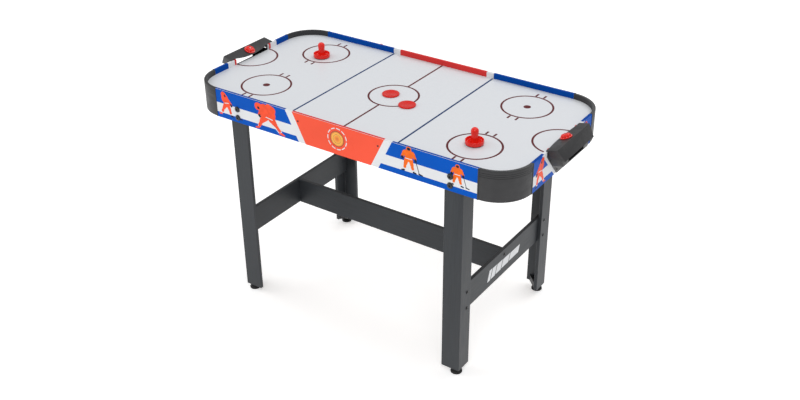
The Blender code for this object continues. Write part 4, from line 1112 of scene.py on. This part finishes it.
def add_numerals(name, centre, tilt, body):
    """The digits round the skirt, read from outside it."""
    dial_place = Matrix.Translation(centre) @ Matrix.Rotation(tilt, 4, "Y")
    for digit in range(DIGITS):
        curve = bpy.data.curves.new(f"digit_{name}_{digit}", "FONT")
        curve.body = str(digit)
        curve.size = DIGIT_SIZE
        curve.extrude = DIGIT_EXTRUDE
        curve.offset = DIGIT_BOLD
        curve.align_x = "CENTER"
        curve.align_y = "CENTER"
        curve.materials.append(LOOKS["numeral_white"])
        obj = bpy.data.objects.new(f"dial_{name}_digit_{digit}", curve)
        add_to_scene(obj)
        spin = Matrix.Rotation(math.tau * (digit + 0.5) / DIGITS, 4, "Z")
        reach = Matrix.Translation((DIGIT_REACH, 0, DIAL_SKIRT + 0.00005))
        obj.matrix_world = dial_place @ spin @ reach @ Matrix.Rotation(math.pi / 2, 4, "Z")
        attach(obj, body)


# ---- Pushers and pucks
def arc_profile(centre, radius, start, end, steps):
    """Profile points on an arc, with the angles in degrees from +radius towards +height."""
    return circle_points(*centre, radius, steps, math.radians(start), math.radians(end))


def make_pushers():
    for name in ENDS:
        body = f"pusher_{name}"
        x, y, radius, low, high = measure_round(body)
        foot = low - PLAY_Z
        top = high - PLAY_Z
        floor = foot + DISH_FLOOR
        profile = [(0, top)] + arc_profile((0, top - KNOB_RADIUS * 0.80), KNOB_RADIUS, 80, 0, 8)
        profile = [(r, min(h, top)) for r, h in profile]
        profile += [(KNOB_RADIUS * 0.99, top - KNOB_RADIUS * 1.20)]
        profile += [(0.011, top * 0.60), (0.0107, top * 0.46)]
        profile += [(0.0109, top * 0.34), (0.0114, top * 0.24), (0.0124, floor + 0.0048)]
        profile += [(0.0136, floor + 0.0016), (0.0152, floor), (0.0215, floor)]
        profile += arc_profile((radius - 0.0062, floor + DISH_CORNER), DISH_CORNER, -90, 0, 5)
        profile += [(radius - DISH_WALL, RIM_HEIGHT - 0.0012)]
        profile += arc_profile((radius - 0.00175, RIM_HEIGHT - 0.0012), RIM_ROUND, 180, 0, 6)
        profile += [(radius - 0.0002, RIM_HEIGHT - 0.0045), (radius, RIM_HEIGHT - 0.007)]
        profile += [(radius, foot + 0.0024)]
        profile += [(radius - 0.0004, foot + 0.0009), (radius - 0.0012, foot), (0, foot)]
        new_piece(
            f"striker_{name}", turned_mesh(profile, 72), "gloss_red", body,
            [body], (x, y, PLAY_Z), 50,
        )
        dress(f"pusher_felt_{name}", "felt")


def make_pucks():
    for name in ENDS:
        body = f"puck_{name}"
        x, y, radius, low, high = measure_round(body)
        thick = high - low
        side = [(radius * 0.66, PUCK_DIP), (radius * 0.70, 0), (radius - PUCK_BEVEL, 0)]
        side += [(radius - PUCK_ROUND, PUCK_ROUND), (radius, PUCK_BEVEL)]
        profile = [(0, thick - PUCK_DIP)] + [(r, thick - h) for r, h in side] + side[::-1] + [(0, PUCK_DIP)]
        new_piece(
            f"disc_{name}", turned_mesh(profile, 72), "puck_red", body, [body], (x, y, low), 40
        )


# ---- Fan, switch and inlet
def make_electrics():
    dress("fan_frame", "fan_plastic", 0.0005)
    dress("fan_rotor", "fan_plastic")
    dress("fan_motor", "zinc")
    dress("fan_guard", "zinc")
    dress("switch_housing", "moulding", 0.0004)
    dress("switch_rocker", "gloss_red")
    dress("power_inlet", "moulding")


# ---- Stage
def make_stage():
    bpy.ops.mesh.primitive_plane_add(size=40, location=(0, 0, 0))
    floor = bpy.context.object
    floor.name = "floor"
    made, _, shader = new_material("floor")
    set_inputs(shader, {
        "Base Color": (0.93, 0.93, 0.93, 1),
        "Roughness": 0.9,
        "Specular IOR Level": 0.1,
        "Emission Color": (1, 1, 1, 1),
        "Emission Strength": 0.40,
    })
    floor.data.materials.append(made)
    world = bpy.data.worlds.new("studio")
    world.use_nodes = True
    set_inputs(world.node_tree.nodes["Background"], {"Color": (1, 1, 1, 1), "Strength": 0.56})
    bpy.context.scene.world = world
    for name, place, size, power in (
        ("key", (1.6, -2.6, 3.4), 2.4, 40),
        ("fill", (-3.0, -1.2, 2.4), 3.0, 32),
        ("back", (0.5, 2.2, 3.6), 3.0, 48),
    ):
        data = bpy.data.lights.new(name, "AREA")
        data.energy = power
        data.size = size
        light = bpy.data.objects.new(name, data)
        light.location = place
        aim = Vector((0, 0, 0.6)) - Vector(place)
        light.rotation_euler = aim.to_track_quat("-Z", "Y").to_euler()
        add_to_scene(light)


def make_camera():
    """At the front, to the right, looking down at the playing surface."""
    data = bpy.data.cameras.new("camera")
    data.sensor_width = 36.0
    data.lens = LENS
    camera = bpy.data.objects.new("camera", data)
    level = math.cos(CAMERA_ELEVATION)
    back = Vector((
        math.sin(CAMERA_AZIMUTH) * level, -math.cos(CAMERA_AZIMUTH) * level, math.sin(CAMERA_ELEVATION)
    ))
    camera.location = CAMERA_PLACE
    turn = (-back).to_track_quat("-Z", "Y").to_matrix().to_4x4()
    camera.rotation_euler = (turn @ Matrix.Rotation(CAMERA_ROLL, 4, "Z")).to_euler()
    add_to_scene(camera)
    bpy.context.scene.camera = camera
    bpy.context.scene.view_settings.view_transform = "Standard"


def main():
    make_stage()
    make_camera()
    make_surface()
    make_marks()
    make_aprons()
    make_caps()
    make_frame_boards()
    make_feet()
    make_leg_bolts()
    make_stretcher_bolts()
    make_speed_bars()
    make_panel_screws()
    make_goals()
    make_dials()
    make_pushers()
    make_pucks()
    make_electrics()


main()
